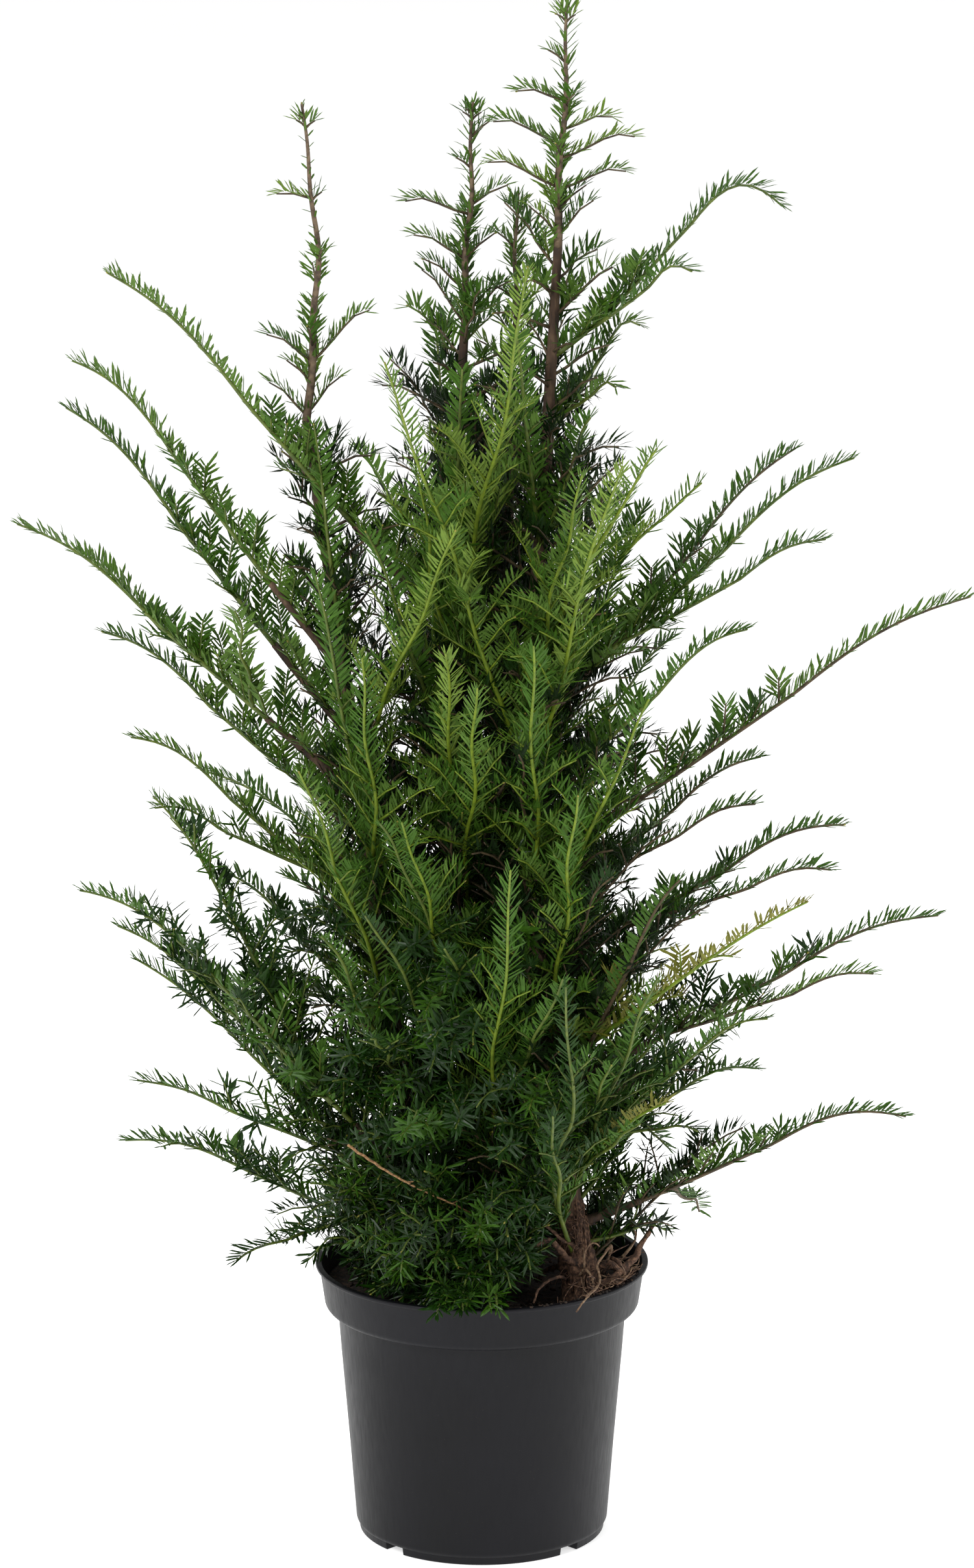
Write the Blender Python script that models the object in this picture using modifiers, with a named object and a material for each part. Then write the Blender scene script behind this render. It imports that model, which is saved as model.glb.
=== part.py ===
"""An english yew, about 1.05 m tall, standing in a ten-litre nursery pot.

Metres, +Z up. The pot's axis is the Z axis, its feet stand on Z = 0, and the front is -Y.
Each stem, bough, mass of needles, the soil, the roots on it and the pot is one closed solid.
"""

import math
import random

import bmesh
import bpy
from mathutils import Vector

# Pot: a turned wall with a folded collar, on a ring of four feet.
POT_HEIGHT = 0.235
LIP_RADIUS = 0.140
LIP_BEAD = 0.0035
LIP_EDGE = 0.001
COLLAR_TOP_RADIUS = 0.1370
COLLAR_FOOT_RADIUS = 0.1325
COLLAR_FOOT_HEIGHT = 0.196
COLLAR_ROUND = 0.006
BODY_TOP_RADIUS = 0.1215
BODY_FOOT_RADIUS = 0.1065
BODY_CORNER = 0.006
BODY_CORNER_DROP = 0.003
FOOT_HEIGHT = 0.008
FOOT_INNER_RADIUS = 0.088
INNER_CORNER = 0.004
WALL = 0.0022
POT_SEGMENTS = 28
NOTCHES = 4
NOTCH_WIDTH = 0.016
NOTCH_LENGTH = 0.036
NOTCH_HEIGHT = 0.007
CENTRE_PAD_RADIUS = 0.018

# Soil: a plug that the wall holds, level on top, a little inside the flats of the pot's facets.
SOIL_LEVEL = 0.214
SOIL_SLACK = 0.0009
SOIL_SEGMENTS = 24

# Gap kept wherever one solid meets another, and how near points have to lie to be merged.
CLEAR = 0.0003
MERGE = 0.000001

# Boolean solvers in the order they are tried, each with whether it minds self-intersections.
# A piece keeps at least this share of its volume, or the solver has failed.
SOLVERS = [("EXACT", False), ("EXACT", True), ("MANIFOLD", False)]
LEAST_LEFT = 0.5

# Needles: each tooth of a shoot stands for a spray of needles.
NEEDLE = 0.024
NEEDLE_SPREAD = (0.88, 1.06)
NEEDLE_LEAN = math.radians(38)
NEEDLE_RAISE = math.radians(38)
LEAN_SPREAD = (0.85, 1.15)
SHORTEST_NEEDLE = 0.7
TIP_SHRINK = 0.25
END_NEEDLE = 0.45
BARE_FOOT = 0.014
MAIN_PITCH = 0.036
TWIG_PITCH = 0.026
SHOOT_RADIUS = 0.0024
TIP_RADIUS = 0.0011
SPACE_MARGIN = 0.0030

# Twigs: side shoots of the long shoots, shorter towards the tip.
TWIG_ANGLE = math.radians(48)
TWIG_LONGEST = 0.078
TWIG_SHORTEST = 0.024
TWIG_SPACING = 0.104
TWIG_FIRST = 0.14
TWIG_STRETCH = 0.58
TWIG_SHARE = 0.32
FORK_CLEAR = 0.012

# Low shoots are bushier: their inner teeth grow longer and stand on the upper side too.
BUSHY_BELOW = 0.780
BUSHY_FADE = 0.250
BUSHY_LEAST = 0.35
SPRAY_EXTRA = 0.036
SPRAY_FADE = 1.3
SEED = 11

BARK = ("yew bark", (0.115, 0.062, 0.040), 0.85)
GREEN = ("yew needles", (0.030, 0.085, 0.018), 0.45)
PLASTIC = ("black plastic", (0.020, 0.021, 0.024), 0.50)
EARTH = ("potting soil", (0.022, 0.014, 0.010), 0.95)

# Stems: waypoints (x, y, height, radius) from the flat cut at the soil to the fork or leader.
STEMS = {
    "main_stem": [
        (0.085, -0.050, SOIL_LEVEL + CLEAR, 0.0110),
        (0.066, -0.035, 0.360, 0.0090),
        (0.036, -0.008, 0.650, 0.0072),
        (0.050, 0.004, 0.870, 0.0056),
        (0.062, 0.013, 1.090, 0.0036),
    ],
    "second_stem": [
        (0.004, 0.032, SOIL_LEVEL + CLEAR, 0.0095),
        (-0.014, 0.038, 0.500, 0.0075),
        (-0.024, 0.041, 0.800, 0.0056),
        (-0.014, 0.046, 1.020, 0.0034),
    ],
    "left_stem": [
        (-0.040, 0.000, SOIL_LEVEL + CLEAR, 0.0100),
        (-0.084, 0.000, 0.520, 0.0075),
        (-0.116, 0.000, 0.760, 0.0055),
        (-0.143, 0.000, 0.950, 0.0036),
    ],
    "back_stem": [
        (0.035, 0.068, SOIL_LEVEL + CLEAR, 0.0090),
        (0.030, 0.090, 0.500, 0.0070),
        (0.022, 0.092, 0.760, 0.0052),
        (0.024, 0.084, 0.930, 0.0034),
    ],
}
FLARED_STEM = "main_stem"
FLARE_HEIGHT = 0.045
FLARE_LOBES = 4
FLARE_LOBE_DEPTH = 0.22
FLARE_RINGS = [(0, 1.55), (0.28, 1.10), (0.60, 1.0)]
STEM_SEGMENTS = 8
STEM_STEP = 0.055

# Boughs: the bare foot of a long shoot, down to the stem.
BOUGH_RADIUS = 0.0048
BOUGH_SHARE = 0.62
BOUGH_TIP = 1.25
BOUGH_SEGMENTS = 6

# Leaders carry a stem on to its tip: stem, tip (x, y, height), number of side sprays. A spray
# has its length at the leader's foot, its radius at each end and the length of its needles.
LEADER_SPRAY = (0.075, 0.0015, 0.0009, 0.017)
LEADERS = {
    "main_leader": ("main_stem", (0.069, 0.020, 1.287), 5),
    "second_leader": ("second_stem", (-0.007, 0.052, 1.203), 4),
    "left_leader": ("left_stem", (-0.145, 0.002, 1.208), 4),
    "back_leader": ("back_stem", (0.030, 0.078, 1.125), 3),
}

# Shoots: name, stem, height on the stem, then the tip's bearing, reach from the pot's axis and
# height, the rise of the arch, the share that is a bare bough, and forks. A fork leaves at a
# share of the shoot and has its own bearing, reach and height. Bearings turn from +X towards +Y.
SHOOTS = [
    ("left_1", "second_stem", 0.765, 205, 0.325, 1.092, 0.010, 0.30, []),
    ("left_2", "left_stem", 0.740, 185, 0.332, 1.004, 0.017, 0.28, []),
    ("left_3", "left_stem", 0.683, 170, 0.348, 0.950, 0.012, 0.28, []),
    (
        "left_4",
        "left_stem",
        0.635,
        180,
        0.380,
        0.864,
        0.010,
        0.28,
        [(0.42, 168, 0.346, 0.826), (0.32, 202, 0.215, 0.808)],
    ),
    ("left_5", "left_stem", 0.600, 170, 0.319, 0.762, 0.008, 0, []),
    ("left_6", "left_stem", 0.530, 186, 0.289, 0.692, 0.010, 0, [(0.25, 193, 0.274, 0.640)]),
    ("left_7", "left_stem", 0.430, 167, 0.222, 0.558, 0.008, 0, [(0.20, 158, 0.250, 0.447)]),
    (
        "left_8",
        "left_stem",
        0.300,
        206,
        0.359,
        0.595,
        0.026,
        0.20,
        [(0.27, 199, 0.282, 0.657), (0.24, 195, 0.308, 0.545)],
    ),
    ("left_9", "left_stem", 0.270, 178, 0.290, 0.494, 0.008, 0, [(0.22, 187, 0.288, 0.401)]),
    ("left_10", "left_stem", 0.245, 172, 0.304, 0.326, 0.012, 0, [(0.25, 196, 0.212, 0.252)]),
    ("right_1", "main_stem", 1.000, 0, 0.243, 1.126, 0.037, 0, [(0.15, 348, 0.173, 1.078)]),
    ("right_2", "main_stem", 0.940, 22, 0.140, 1.020, 0.012, 0, [(0.15, 352, 0.110, 0.980)]),
    ("right_3", "main_stem", 0.740, 315, 0.197, 0.952, 0.005, 0, [(0.25, 2, 0.180, 0.897)]),
    ("right_4", "main_stem", 0.680, 19, 0.276, 0.911, 0.008, 0, []),
    ("right_5", "main_stem", 0.700, 4, 0.306, 0.915, 0.010, 0.25, [(0.27, 352, 0.282, 0.859)]),
    ("right_6", "main_stem", 0.577, 0, 0.400, 0.803, 0.011, 0.25, []),
    ("right_7", "main_stem", 0.625, 335, 0.236, 0.797, 0.008, 0, []),
    ("right_8", "main_stem", 0.540, 14, 0.240, 0.655, 0.006, 0, [(0.12, 352, 0.227, 0.636)]),
    ("right_9", "main_stem", 0.492, 6, 0.303, 0.603, 0.010, 0.25, [(0.27, 350, 0.291, 0.585)]),
    ("right_10", "main_stem", 0.411, 324, 0.321, 0.593, 0.006, 0, []),
    ("right_11", "main_stem", 0.394, 3, 0.381, 0.528, 0.010, 0.22, [(0.30, 349, 0.328, 0.500)]),
    (
        "right_12",
        "main_stem",
        0.340,
        12,
        0.237,
        0.387,
        0.010,
        0,
        [(0.12, 333, 0.261, 0.477), (0.20, 341, 0.189, 0.365)],
    ),
    ("right_13", "main_stem", 0.278, 357, 0.354, 0.365, 0.015, 0.20, [(0.30, 14, 0.190, 0.262)]),
    ("front_1", "second_stem", 0.748, 282, 0.174, 1.101, -0.015, 0, []),
    ("front_2", "main_stem", 0.658, 246, 0.186, 1.025, 0.000, 0, []),
    ("front_3", "main_stem", 0.636, 299, 0.228, 0.949, 0.010, 0, []),
    ("front_4", "second_stem", 0.270, 276, 0.221, 0.627, -0.020, 0, []),
    ("front_5", "main_stem", 0.243, 287, 0.230, 0.531, -0.010, 0, [(0.20, 286, 0.208, 0.418)]),
    ("front_6", "main_stem", 0.300, 305, 0.245, 0.532, 0.006, 0, [(0.15, 307, 0.213, 0.403)]),
    (
        "front_7",
        "left_stem",
        0.232,
        238,
        0.150,
        0.285,
        0.010,
        0,
        [(0.12, 262, 0.140, 0.272), (0.12, 214, 0.170, 0.330)],
    ),
    (
        "front_8",
        "second_stem",
        0.235,
        268,
        0.150,
        0.300,
        0.010,
        0,
        [(0.12, 288, 0.120, 0.320), (0.12, 250, 0.135, 0.350)],
    ),
    ("front_9", "second_stem", 0.420, 262, 0.212, 0.560, 0.010, 0, [(0.15, 248, 0.215, 0.660)]),
    ("front_10", "left_stem", 0.380, 233, 0.214, 0.560, 0.010, 0, [(0.15, 245, 0.210, 0.480)]),
    (
        "back_1",
        "back_stem",
        0.280,
        95,
        0.310,
        0.400,
        0.010,
        0,
        [(0.15, 125, 0.290, 0.340), (0.10, 152, 0.165, 0.285)],
    ),
    (
        "back_2",
        "back_stem",
        0.360,
        52,
        0.330,
        0.500,
        0.010,
        0,
        [(0.15, 75, 0.300, 0.520), (0.10, 25, 0.175, 0.310)],
    ),
    ("back_3", "back_stem", 0.430, 135, 0.340, 0.600, 0.010, 0, [(0.15, 112, 0.320, 0.620)]),
    ("back_4", "back_stem", 0.520, 80, 0.340, 0.730, 0.010, 0.22, [(0.25, 55, 0.290, 0.720)]),
    ("back_5", "back_stem", 0.640, 112, 0.290, 0.880, 0.010, 0, [(0.15, 82, 0.220, 0.930)]),
]

# Roots that lie bare on the soil: bearing from the main stem's foot, length, height at the tip.
ROOTS = [(-8, 0.052, 0.018), (28, 0.060, 0.030), (62, 0.046, 0.012), (-40, 0.040, 0.010)]
ROOT_RADIUS = 0.0045
ROOT_THINS = 0.7
ROOT_LEAVES = 0.010
ROOT_ARCH = 0.008
ROOT_STEP = 0.014


def clear_scene():
    for obj in list(bpy.data.objects):
        bpy.data.objects.remove(obj, do_unlink=True)


def new_collection(name):
    collection = bpy.data.collections.new(name)
    bpy.context.scene.collection.children.link(collection)
    return collection


def material(name, colour, roughness):
    made = bpy.data.materials.get(name)
    if made is None:
        made = bpy.data.materials.new(name)
        made.use_nodes = True
        surface = made.node_tree.nodes["Principled BSDF"]
        surface.inputs["Base Color"].default_value = (*colour, 1.0)
        surface.inputs["Roughness"].default_value = roughness
        surface.inputs["Metallic"].default_value = 0.0
    return made


def mesh_object(name, bm, finish, collection):
    bmesh.ops.recalc_face_normals(bm, faces=bm.faces)
    mesh = bpy.data.meshes.new(name)
    bm.to_mesh(mesh)
    bm.free()
    mesh.materials.append(material(*finish))
    obj = bpy.data.objects.new(name, mesh)
    collection.objects.link(obj)
    return obj


def apply_modifiers(obj):
    graph = bpy.context.evaluated_depsgraph_get()
    mesh = bpy.data.meshes.new_from_object(obj.evaluated_get(graph))
    obj.modifiers.clear()
    obj.data = mesh


def turned(name, profile, segments, finish, collection):
    """A solid of revolution from (radius, height) pairs that start and end on the axis."""
    mesh = bpy.data.meshes.new(name)
    edges = [(k, k + 1) for k in range(len(profile) - 1)]
    mesh.from_pydata([(r, 0.0, z) for r, z in profile], edges, [])
    mesh.materials.append(material(*finish))
    obj = bpy.data.objects.new(name, mesh)
    collection.objects.link(obj)
    screw = obj.modifiers.new("Turn", "SCREW")
    screw.steps = screw.render_steps = segments
    screw.use_merge_vertices = True
    screw.merge_threshold = MERGE
    apply_modifiers(obj)
    bm = bmesh.new()
    bm.from_mesh(obj.data)
    bmesh.ops.recalc_face_normals(bm, faces=bm.faces)
    bm.to_mesh(obj.data)
    bm.free()
    return obj


def rounded(centre, radius, start, end, steps):
    """Points on an arc of a profile, from one angle to another, in degrees."""
    turns = [math.radians(start + (end - start) * k / steps) for k in range(steps + 1)]
    return [(centre[0] + radius * math.cos(a), centre[1] + radius * math.sin(a)) for a in turns]


def closed_volume(mesh):
    """The volume of a closed mesh, or none where it has an open edge."""
    bm = bmesh.new()
    bm.from_mesh(mesh)
    bmesh.ops.remove_doubles(bm, verts=bm.verts, dist=MERGE)
    closed = all(len(edge.link_faces) == 2 for edge in bm.edges)
    volume = bm.calc_volume() if closed else 0
    bm.free()
    return volume


def combine(obj, operation, other):
    """Apply a Boolean with an object or a collection, by the first solver that leaves it whole."""
    least = closed_volume(obj.data) * LEAST_LEFT
    modifier = obj.modifiers.new("Combine", "BOOLEAN")
    modifier.operation = operation
    if isinstance(other, bpy.types.Collection):
        modifier.operand_type = "COLLECTION"
        modifier.collection = other
    else:
        modifier.object = other
    graph = bpy.context.evaluated_depsgraph_get()
    for modifier.solver, modifier.use_self in SOLVERS:
        graph.update()
        mesh = bpy.data.meshes.new_from_object(obj.evaluated_get(graph))
        if closed_volume(mesh) > least:
            break
    obj.modifiers.clear()
    obj.data = mesh


def make_pot(collection, cutters):
    collar_arc = rounded(
        (COLLAR_FOOT_RADIUS - COLLAR_ROUND, COLLAR_FOOT_HEIGHT + COLLAR_ROUND), COLLAR_ROUND, 0, -90, 2
    )
    corner_height = FOOT_HEIGHT + BODY_CORNER - BODY_CORNER_DROP
    corner_arc = rounded((BODY_FOOT_RADIUS - BODY_CORNER, corner_height), BODY_CORNER, 0, -60, 2)
    inner_foot = BODY_FOOT_RADIUS - WALL
    floor = FOOT_HEIGHT + WALL
    foot_edge = corner_arc[-1][0]
    profile = [
        (0.0, floor),
        (inner_foot - INNER_CORNER, floor),
        (inner_foot, floor + INNER_CORNER),
        (BODY_TOP_RADIUS - WALL, COLLAR_FOOT_HEIGHT + WALL),
        (COLLAR_FOOT_RADIUS - COLLAR_ROUND, COLLAR_FOOT_HEIGHT + WALL),
        (COLLAR_FOOT_RADIUS - WALL, COLLAR_FOOT_HEIGHT + COLLAR_ROUND),
        (COLLAR_TOP_RADIUS - WALL, POT_HEIGHT),
        (LIP_RADIUS - LIP_EDGE, POT_HEIGHT),
        (LIP_RADIUS, POT_HEIGHT - LIP_EDGE),
        (LIP_RADIUS, POT_HEIGHT - LIP_BEAD),
        (COLLAR_TOP_RADIUS, POT_HEIGHT - LIP_BEAD - LIP_EDGE),
        *collar_arc,
        (BODY_TOP_RADIUS, COLLAR_FOOT_HEIGHT),
        *corner_arc,
        (foot_edge, 0.0),
        (FOOT_INNER_RADIUS, 0.0),
        (FOOT_INNER_RADIUS, FOOT_HEIGHT),
        (CENTRE_PAD_RADIUS, FOOT_HEIGHT),
        (CENTRE_PAD_RADIUS, 0.0),
        (0.0, 0.0),
    ]
    pot = turned("pot", profile, POT_SEGMENTS, PLASTIC, collection)
    for k in range(NOTCHES):
        turn = 2 * math.pi * (k + 0.5) / NOTCHES
        bm = bmesh.new()
        bmesh.ops.create_cube(bm, size=1.0)
        notch = mesh_object("foot_notch_%d" % k, bm, PLASTIC, cutters)
        notch.scale = (NOTCH_LENGTH, NOTCH_WIDTH, 2 * NOTCH_HEIGHT)
        middle = (FOOT_INNER_RADIUS + BODY_FOOT_RADIUS) / 2
        notch.location = (middle * math.cos(turn), middle * math.sin(turn), 0.0)
        notch.rotation_euler.z = turn
        notch.display_type = "WIRE"
        notch.hide_render = True
        bpy.context.view_layer.update()
        combine(pot, "DIFFERENCE", notch)
    return pot


def make_soil(collection):
    floor = FOOT_HEIGHT + WALL + CLEAR
    squeeze = math.cos(math.pi / POT_SEGMENTS)
    inner_rise = POT_HEIGHT - COLLAR_FOOT_HEIGHT - COLLAR_ROUND
    slope = (COLLAR_TOP_RADIUS - COLLAR_FOOT_RADIUS) / inner_rise
    collar = COLLAR_FOOT_RADIUS + slope * (SOIL_LEVEL - COLLAR_FOOT_HEIGHT - COLLAR_ROUND)
    top, body, foot = (
        (radius - WALL - SOIL_SLACK) * squeeze
        for radius in (collar, BODY_TOP_RADIUS, BODY_FOOT_RADIUS)
    )
    profile = [
        (0.0, SOIL_LEVEL),
        (top, SOIL_LEVEL),
        (body, COLLAR_FOOT_HEIGHT + WALL + SOIL_SLACK),
        (foot, floor + INNER_CORNER + SOIL_SLACK),
        (foot - INNER_CORNER - SOIL_SLACK, floor),
        (0.0, floor),
    ]
    return turned("soil", profile, SOIL_SEGMENTS, EARTH, collection)


def smooth_path(points, step):
    """Points at about the given step on a smooth curve through waypoints of any dimension."""
    ends = [2 * points[0] - points[1], *points, 2 * points[-1] - points[-2]]
    found = []
    for k in range(1, len(ends) - 2):
        before, start, end, after = ends[k - 1 : k + 3]
        count = max(2, round((end - start).length / step))
        for j in range(count):
            t = j / count
            bend = 2 * start + (end - before) * t
            bend += (2 * before - 5 * start + 4 * end - after) * t * t
            bend += (3 * start - before - 3 * end + after) * t * t * t
            found.append(bend / 2)
    found.append(points[-1])
    return found


def stem_path(name):
    return smooth_path([Vector(point) for point in STEMS[name]], STEM_STEP)


def stem_at(name, height):
    """Where a stem's axis is at a height, and its radius there."""
    path = stem_path(name)
    for low, high in zip(path, path[1:]):
        if low.z <= height <= high.z:
            point = low.lerp(high, (height - low.z) / (high.z - low.z))
            return Vector(point[:3]), point[3]
    return Vector(path[-1][:3]), path[-1][3]


def sideways(ahead):
    """The level direction across a limb or shoot, which for an upright one is +X."""
    across = ahead.normalized().cross(Vector((0, 0, 1)))
    return across.normalized() if across.length > 0.25 else Vector((1, 0, 0))


def limb(name, path, radii, segments, finish, collection):
    """A tapering limb with flat ends, round a path of points."""
    bm = bmesh.new()
    rings = []
    for k, point in enumerate(path):
        ahead = (path[min(k + 1, len(path) - 1)] - path[max(k - 1, 0)]).normalized()
        if k == 0 and name in STEMS:
            ahead = Vector((0, 0, 1))
        over = sideways(path[-1] - path[0]).cross(ahead).normalized()
        across = ahead.cross(over)
        ring = []
        for j in range(segments):
            angle = 2 * math.pi * j / segments
            arm = (across * math.cos(angle) + over * math.sin(angle)) * radii[k]
            ring.append(bm.verts.new(point + arm))
        rings.append(ring)
    for low, high in zip(rings, rings[1:]):
        for j in range(segments):
            across = (j + 1) % segments
            bm.faces.new((low[j], low[across], high[across], high[j]))
    bm.faces.new(rings[0][::-1])
    bm.faces.new(rings[-1])
    return mesh_object(name, bm, finish, collection)


def make_stem(name, collection, swell=0.0):
    path = stem_path(name)
    points = [Vector(point[:3]) for point in path]
    radii = [point[3] + swell for point in path]
    if name == FLARED_STEM:
        rings = [(points[0].lerp(points[1], share), radii[0] * wide) for share, wide in FLARE_RINGS]
        points[:1] = [point for point, _ in rings]
        radii[:1] = [radius for _, radius in rings]
    stem = limb(name, points, radii, STEM_SEGMENTS, BARK, collection)
    if name == FLARED_STEM:
        foot = points[0]
        for vertex in stem.data.vertices:
            away = vertex.co - foot
            if away.z < FLARE_HEIGHT:
                turn = math.atan2(away.y, away.x)
                fade = 1 - away.z / FLARE_HEIGHT
                lobe = 1 + FLARE_LOBE_DEPTH * math.cos(FLARE_LOBES * turn) * fade
                vertex.co.x = foot.x + away.x * lobe
                vertex.co.y = foot.y + away.y * lobe
    return stem


def tip_of(bearing, reach, height):
    turn = math.radians(bearing)
    return Vector((reach * math.cos(turn), reach * math.sin(turn), height))


def arched_path(foot, tip, arch, step):
    """From foot to tip, nearly straight, rising a little more before the tip levels off."""
    count = max(3, round((tip - foot).length / step))
    path = []
    for k in range(count + 1):
        t = k / count
        path.append(foot.lerp(tip, t) + Vector((0, 0, arch * math.sin(math.pi * t * t))))
    return path


def cut_path(path, start):
    """The part of a path past a share of its length, starting exactly there."""
    spans = [(b - a).length for a, b in zip(path, path[1:])]
    left = start * sum(spans)
    for k, span in enumerate(spans):
        if left < span:
            return [path[k].lerp(path[k + 1], left / span), *path[k + 1 :]]
        left -= span
    return path[-2:]


def point_on(path, share):
    return cut_path(path, share)[0]


class Shoot:
    """A shoot's path, its radius at each end, and whether its needles stand all round it."""

    def __init__(self, path, thick, thin, needle, all_round=False):
        self.path = path
        self.thick = thick
        self.thin = thin
        self.needle = needle
        self.all_round = all_round
        self.bushy = 0 if all_round else min(1, max(0, (BUSHY_BELOW - path[0].z) / BUSHY_FADE))


def plan_masses():
    """Each mass's long shoots, and each bough's path, before any needles."""
    masses, boughs = {}, {}
    for name, stem, leaves, bearing, reach, height, arch, bare, forks in SHOOTS:
        foot, _ = stem_at(stem, leaves)
        whole = arched_path(foot, tip_of(bearing, reach, height), arch, MAIN_PITCH)
        if bare:
            boughs[name] = (stem, cut_path(whole[::-1], 1 - bare)[::-1])
            main = cut_path(whole, bare)
            main[0] = main[0] + (main[1] - main[0]).normalized() * CLEAR
        else:
            main = whole
        shoots = [Shoot(main, SHOOT_RADIUS, TIP_RADIUS, NEEDLE)]
        for share, turn, far, high in forks:
            root = point_on(whole, max(share, bare + 0.03))
            end = tip_of(turn, far, high)
            rise = arch * ((end - root).length / (whole[-1] - foot).length) ** 2
            fork = arched_path(root, end, rise, MAIN_PITCH * 1.1)
            shoots.append(Shoot(fork, SHOOT_RADIUS * 0.85, TIP_RADIUS, NEEDLE))
        masses[name] = (stem, shoots)
    for name, (stem, tip, sprays) in LEADERS.items():
        path = stem_path(stem)
        base = Vector(path[-1][:3])
        ahead = (base - Vector(path[-2][:3])).normalized()
        axis = arched_path(base + ahead * CLEAR, Vector(tip), 0, MAIN_PITCH)
        shoots = [Shoot(axis, path[-1][3] * 0.9, TIP_RADIUS, NEEDLE * 0.8, True)]
        chance = random.Random("%s %d" % (name, SEED))
        longest, thick, thin, needle = LEADER_SPRAY
        for k in range(sprays):
            share = 0.08 + 0.68 * k / sprays
            root = point_on(axis, share)
            turn = math.radians(180 * (k % 2) + chance.uniform(-40, 40))
            far = longest * (1 - 0.6 * share) * chance.uniform(0.85, 1.1)
            end = root + Vector((far * math.cos(turn), far * math.sin(turn), far * 0.55))
            shoots.append(Shoot(arched_path(root, end, 0.006, TWIG_PITCH), thick, thin, needle))
        masses[name] = (stem, shoots)
    return masses, boughs


def samples(path):
    """Points along a path closer together than the space between two shoots."""
    found = []
    for low, high in zip(path, path[1:]):
        found += [low, low.lerp(high, 0.5)]
    return [*found, path[-1]]


class Space:
    """Tells whether a point lies in the space that one mass keeps to."""

    def __init__(self, masses, boughs):
        self.shoots = {}
        for name, (_, shoots) in masses.items():
            self.shoots[name] = [point for shoot in shoots for point in samples(shoot.path)]
        self.limbs = []
        for name in STEMS:
            for point in samples(stem_path(name)):
                self.limbs.append((Vector(point[:3]), point[3]))
        for _, path in boughs.values():
            self.limbs += [(point, BOUGH_RADIUS) for point in samples(path)]

    def holds(self, name, point, path=None):
        """True where no limb and no other mass comes near, nor another shoot of the same mass."""
        if self.blocked(point):
            return False
        own = min((point - other).length for other in self.shoots[name])
        if path is not None:
            nearest = min((point - other).length for other in samples(path))
            if own < nearest - SPACE_MARGIN:
                return False
        for mass, others in self.shoots.items():
            if mass == name:
                continue
            for other in others:
                if (point - other).length < own + SPACE_MARGIN * 2:
                    return False
        return True

    def blocked(self, point):
        """In the pot's rim, the soil or a limb."""
        out = math.hypot(point.x, point.y)
        if out < COLLAR_FOOT_RADIUS - SPACE_MARGIN and point.z < SOIL_LEVEL + SPACE_MARGIN:
            return True
        on_rim = COLLAR_FOOT_RADIUS - SPACE_MARGIN < out < LIP_RADIUS + SPACE_MARGIN
        if on_rim and point.z < POT_HEIGHT + SPACE_MARGIN:
            return True
        for limb_point, radius in self.limbs:
            if (point - limb_point).length < radius + SPACE_MARGIN * 2:
                return True
        return False


def feathered(name, shoot, mass, space, chance, collection):
    """A three-sided shoot whose sides are drawn out into needles, as one closed mesh."""
    path = shoot.path
    bm = bmesh.new()
    rings, frames = [], []
    for k, point in enumerate(path):
        ahead = (path[min(k + 1, len(path) - 1)] - path[max(k - 1, 0)]).normalized()
        over = sideways(path[-1] - path[0]).cross(ahead).normalized()
        across = ahead.cross(over)
        share = k / (len(path) - 1)
        radius = shoot.thick + (shoot.thin - shoot.thick) * share
        ring = []
        for angle in (210, 330, 90):
            turn = math.radians(angle)
            ring.append(bm.verts.new(point + (across * math.cos(turn) + over * -math.sin(turn)) * radius))
        rings.append(ring)
        frames.append((ahead, across, over))
    bm.faces.new(rings[0])
    for k, (low, high) in enumerate(zip(rings, rings[1:])):
        ahead, across, over = frames[k]
        share = k / (len(path) - 1)
        for j in range(3):
            a, b = low[j], low[(j + 1) % 3]
            c, d = high[j], high[(j + 1) % 3]
            middle = (a.co + b.co + d.co) / 3
            away = middle - path[k].lerp(path[k + 1], 0.4)
            away -= ahead * away.dot(ahead)
            away.normalize()
            length = shoot.needle * chance.uniform(*NEEDLE_SPREAD) * (1 - TIP_SHRINK * share**3)
            length += SPRAY_EXTRA * shoot.bushy * max(0, 1 - SPRAY_FADE * share)
            lean = NEEDLE_LEAN * chance.uniform(*LEAN_SPREAD)
            if not shoot.all_round:
                side = 0 if j == 0 else (1 if away.dot(across) > 0 else -1)
                raised = NEEDLE_RAISE if side else math.radians(90)
                away = across * side * math.cos(raised) + over * math.sin(raised)
            bare = shoot.all_round and (k + j) % 3 == 0
            bare |= j == 0 and not shoot.all_round and shoot.bushy * (1 - share) < BUSHY_LEAST
            bare |= (middle - path[0]).length < BARE_FOOT
            tip = None
            while not bare and length > NEEDLE * SHORTEST_NEEDLE:
                reached = middle + (away * math.cos(lean) + ahead * math.sin(lean)) * length
                if all(space.holds(mass, middle.lerp(reached, part), path) for part in (0.6, 1)):
                    tip = reached
                    break
                length *= 0.8
            if tip:
                end = bm.verts.new(tip)
                bm.faces.new((a, b, end))
                bm.faces.new((b, d, end))
                bm.faces.new((d, a, end))
            else:
                bm.faces.new((a, b, d))
            bm.faces.new((a, d, c))
    end = bm.verts.new(path[-1] + frames[-1][0] * shoot.needle * END_NEEDLE)
    for j in range(3):
        bm.faces.new((rings[-1][j], rings[-1][(j + 1) % 3], end))
    return mesh_object(name, bm, GREEN, collection)


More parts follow.
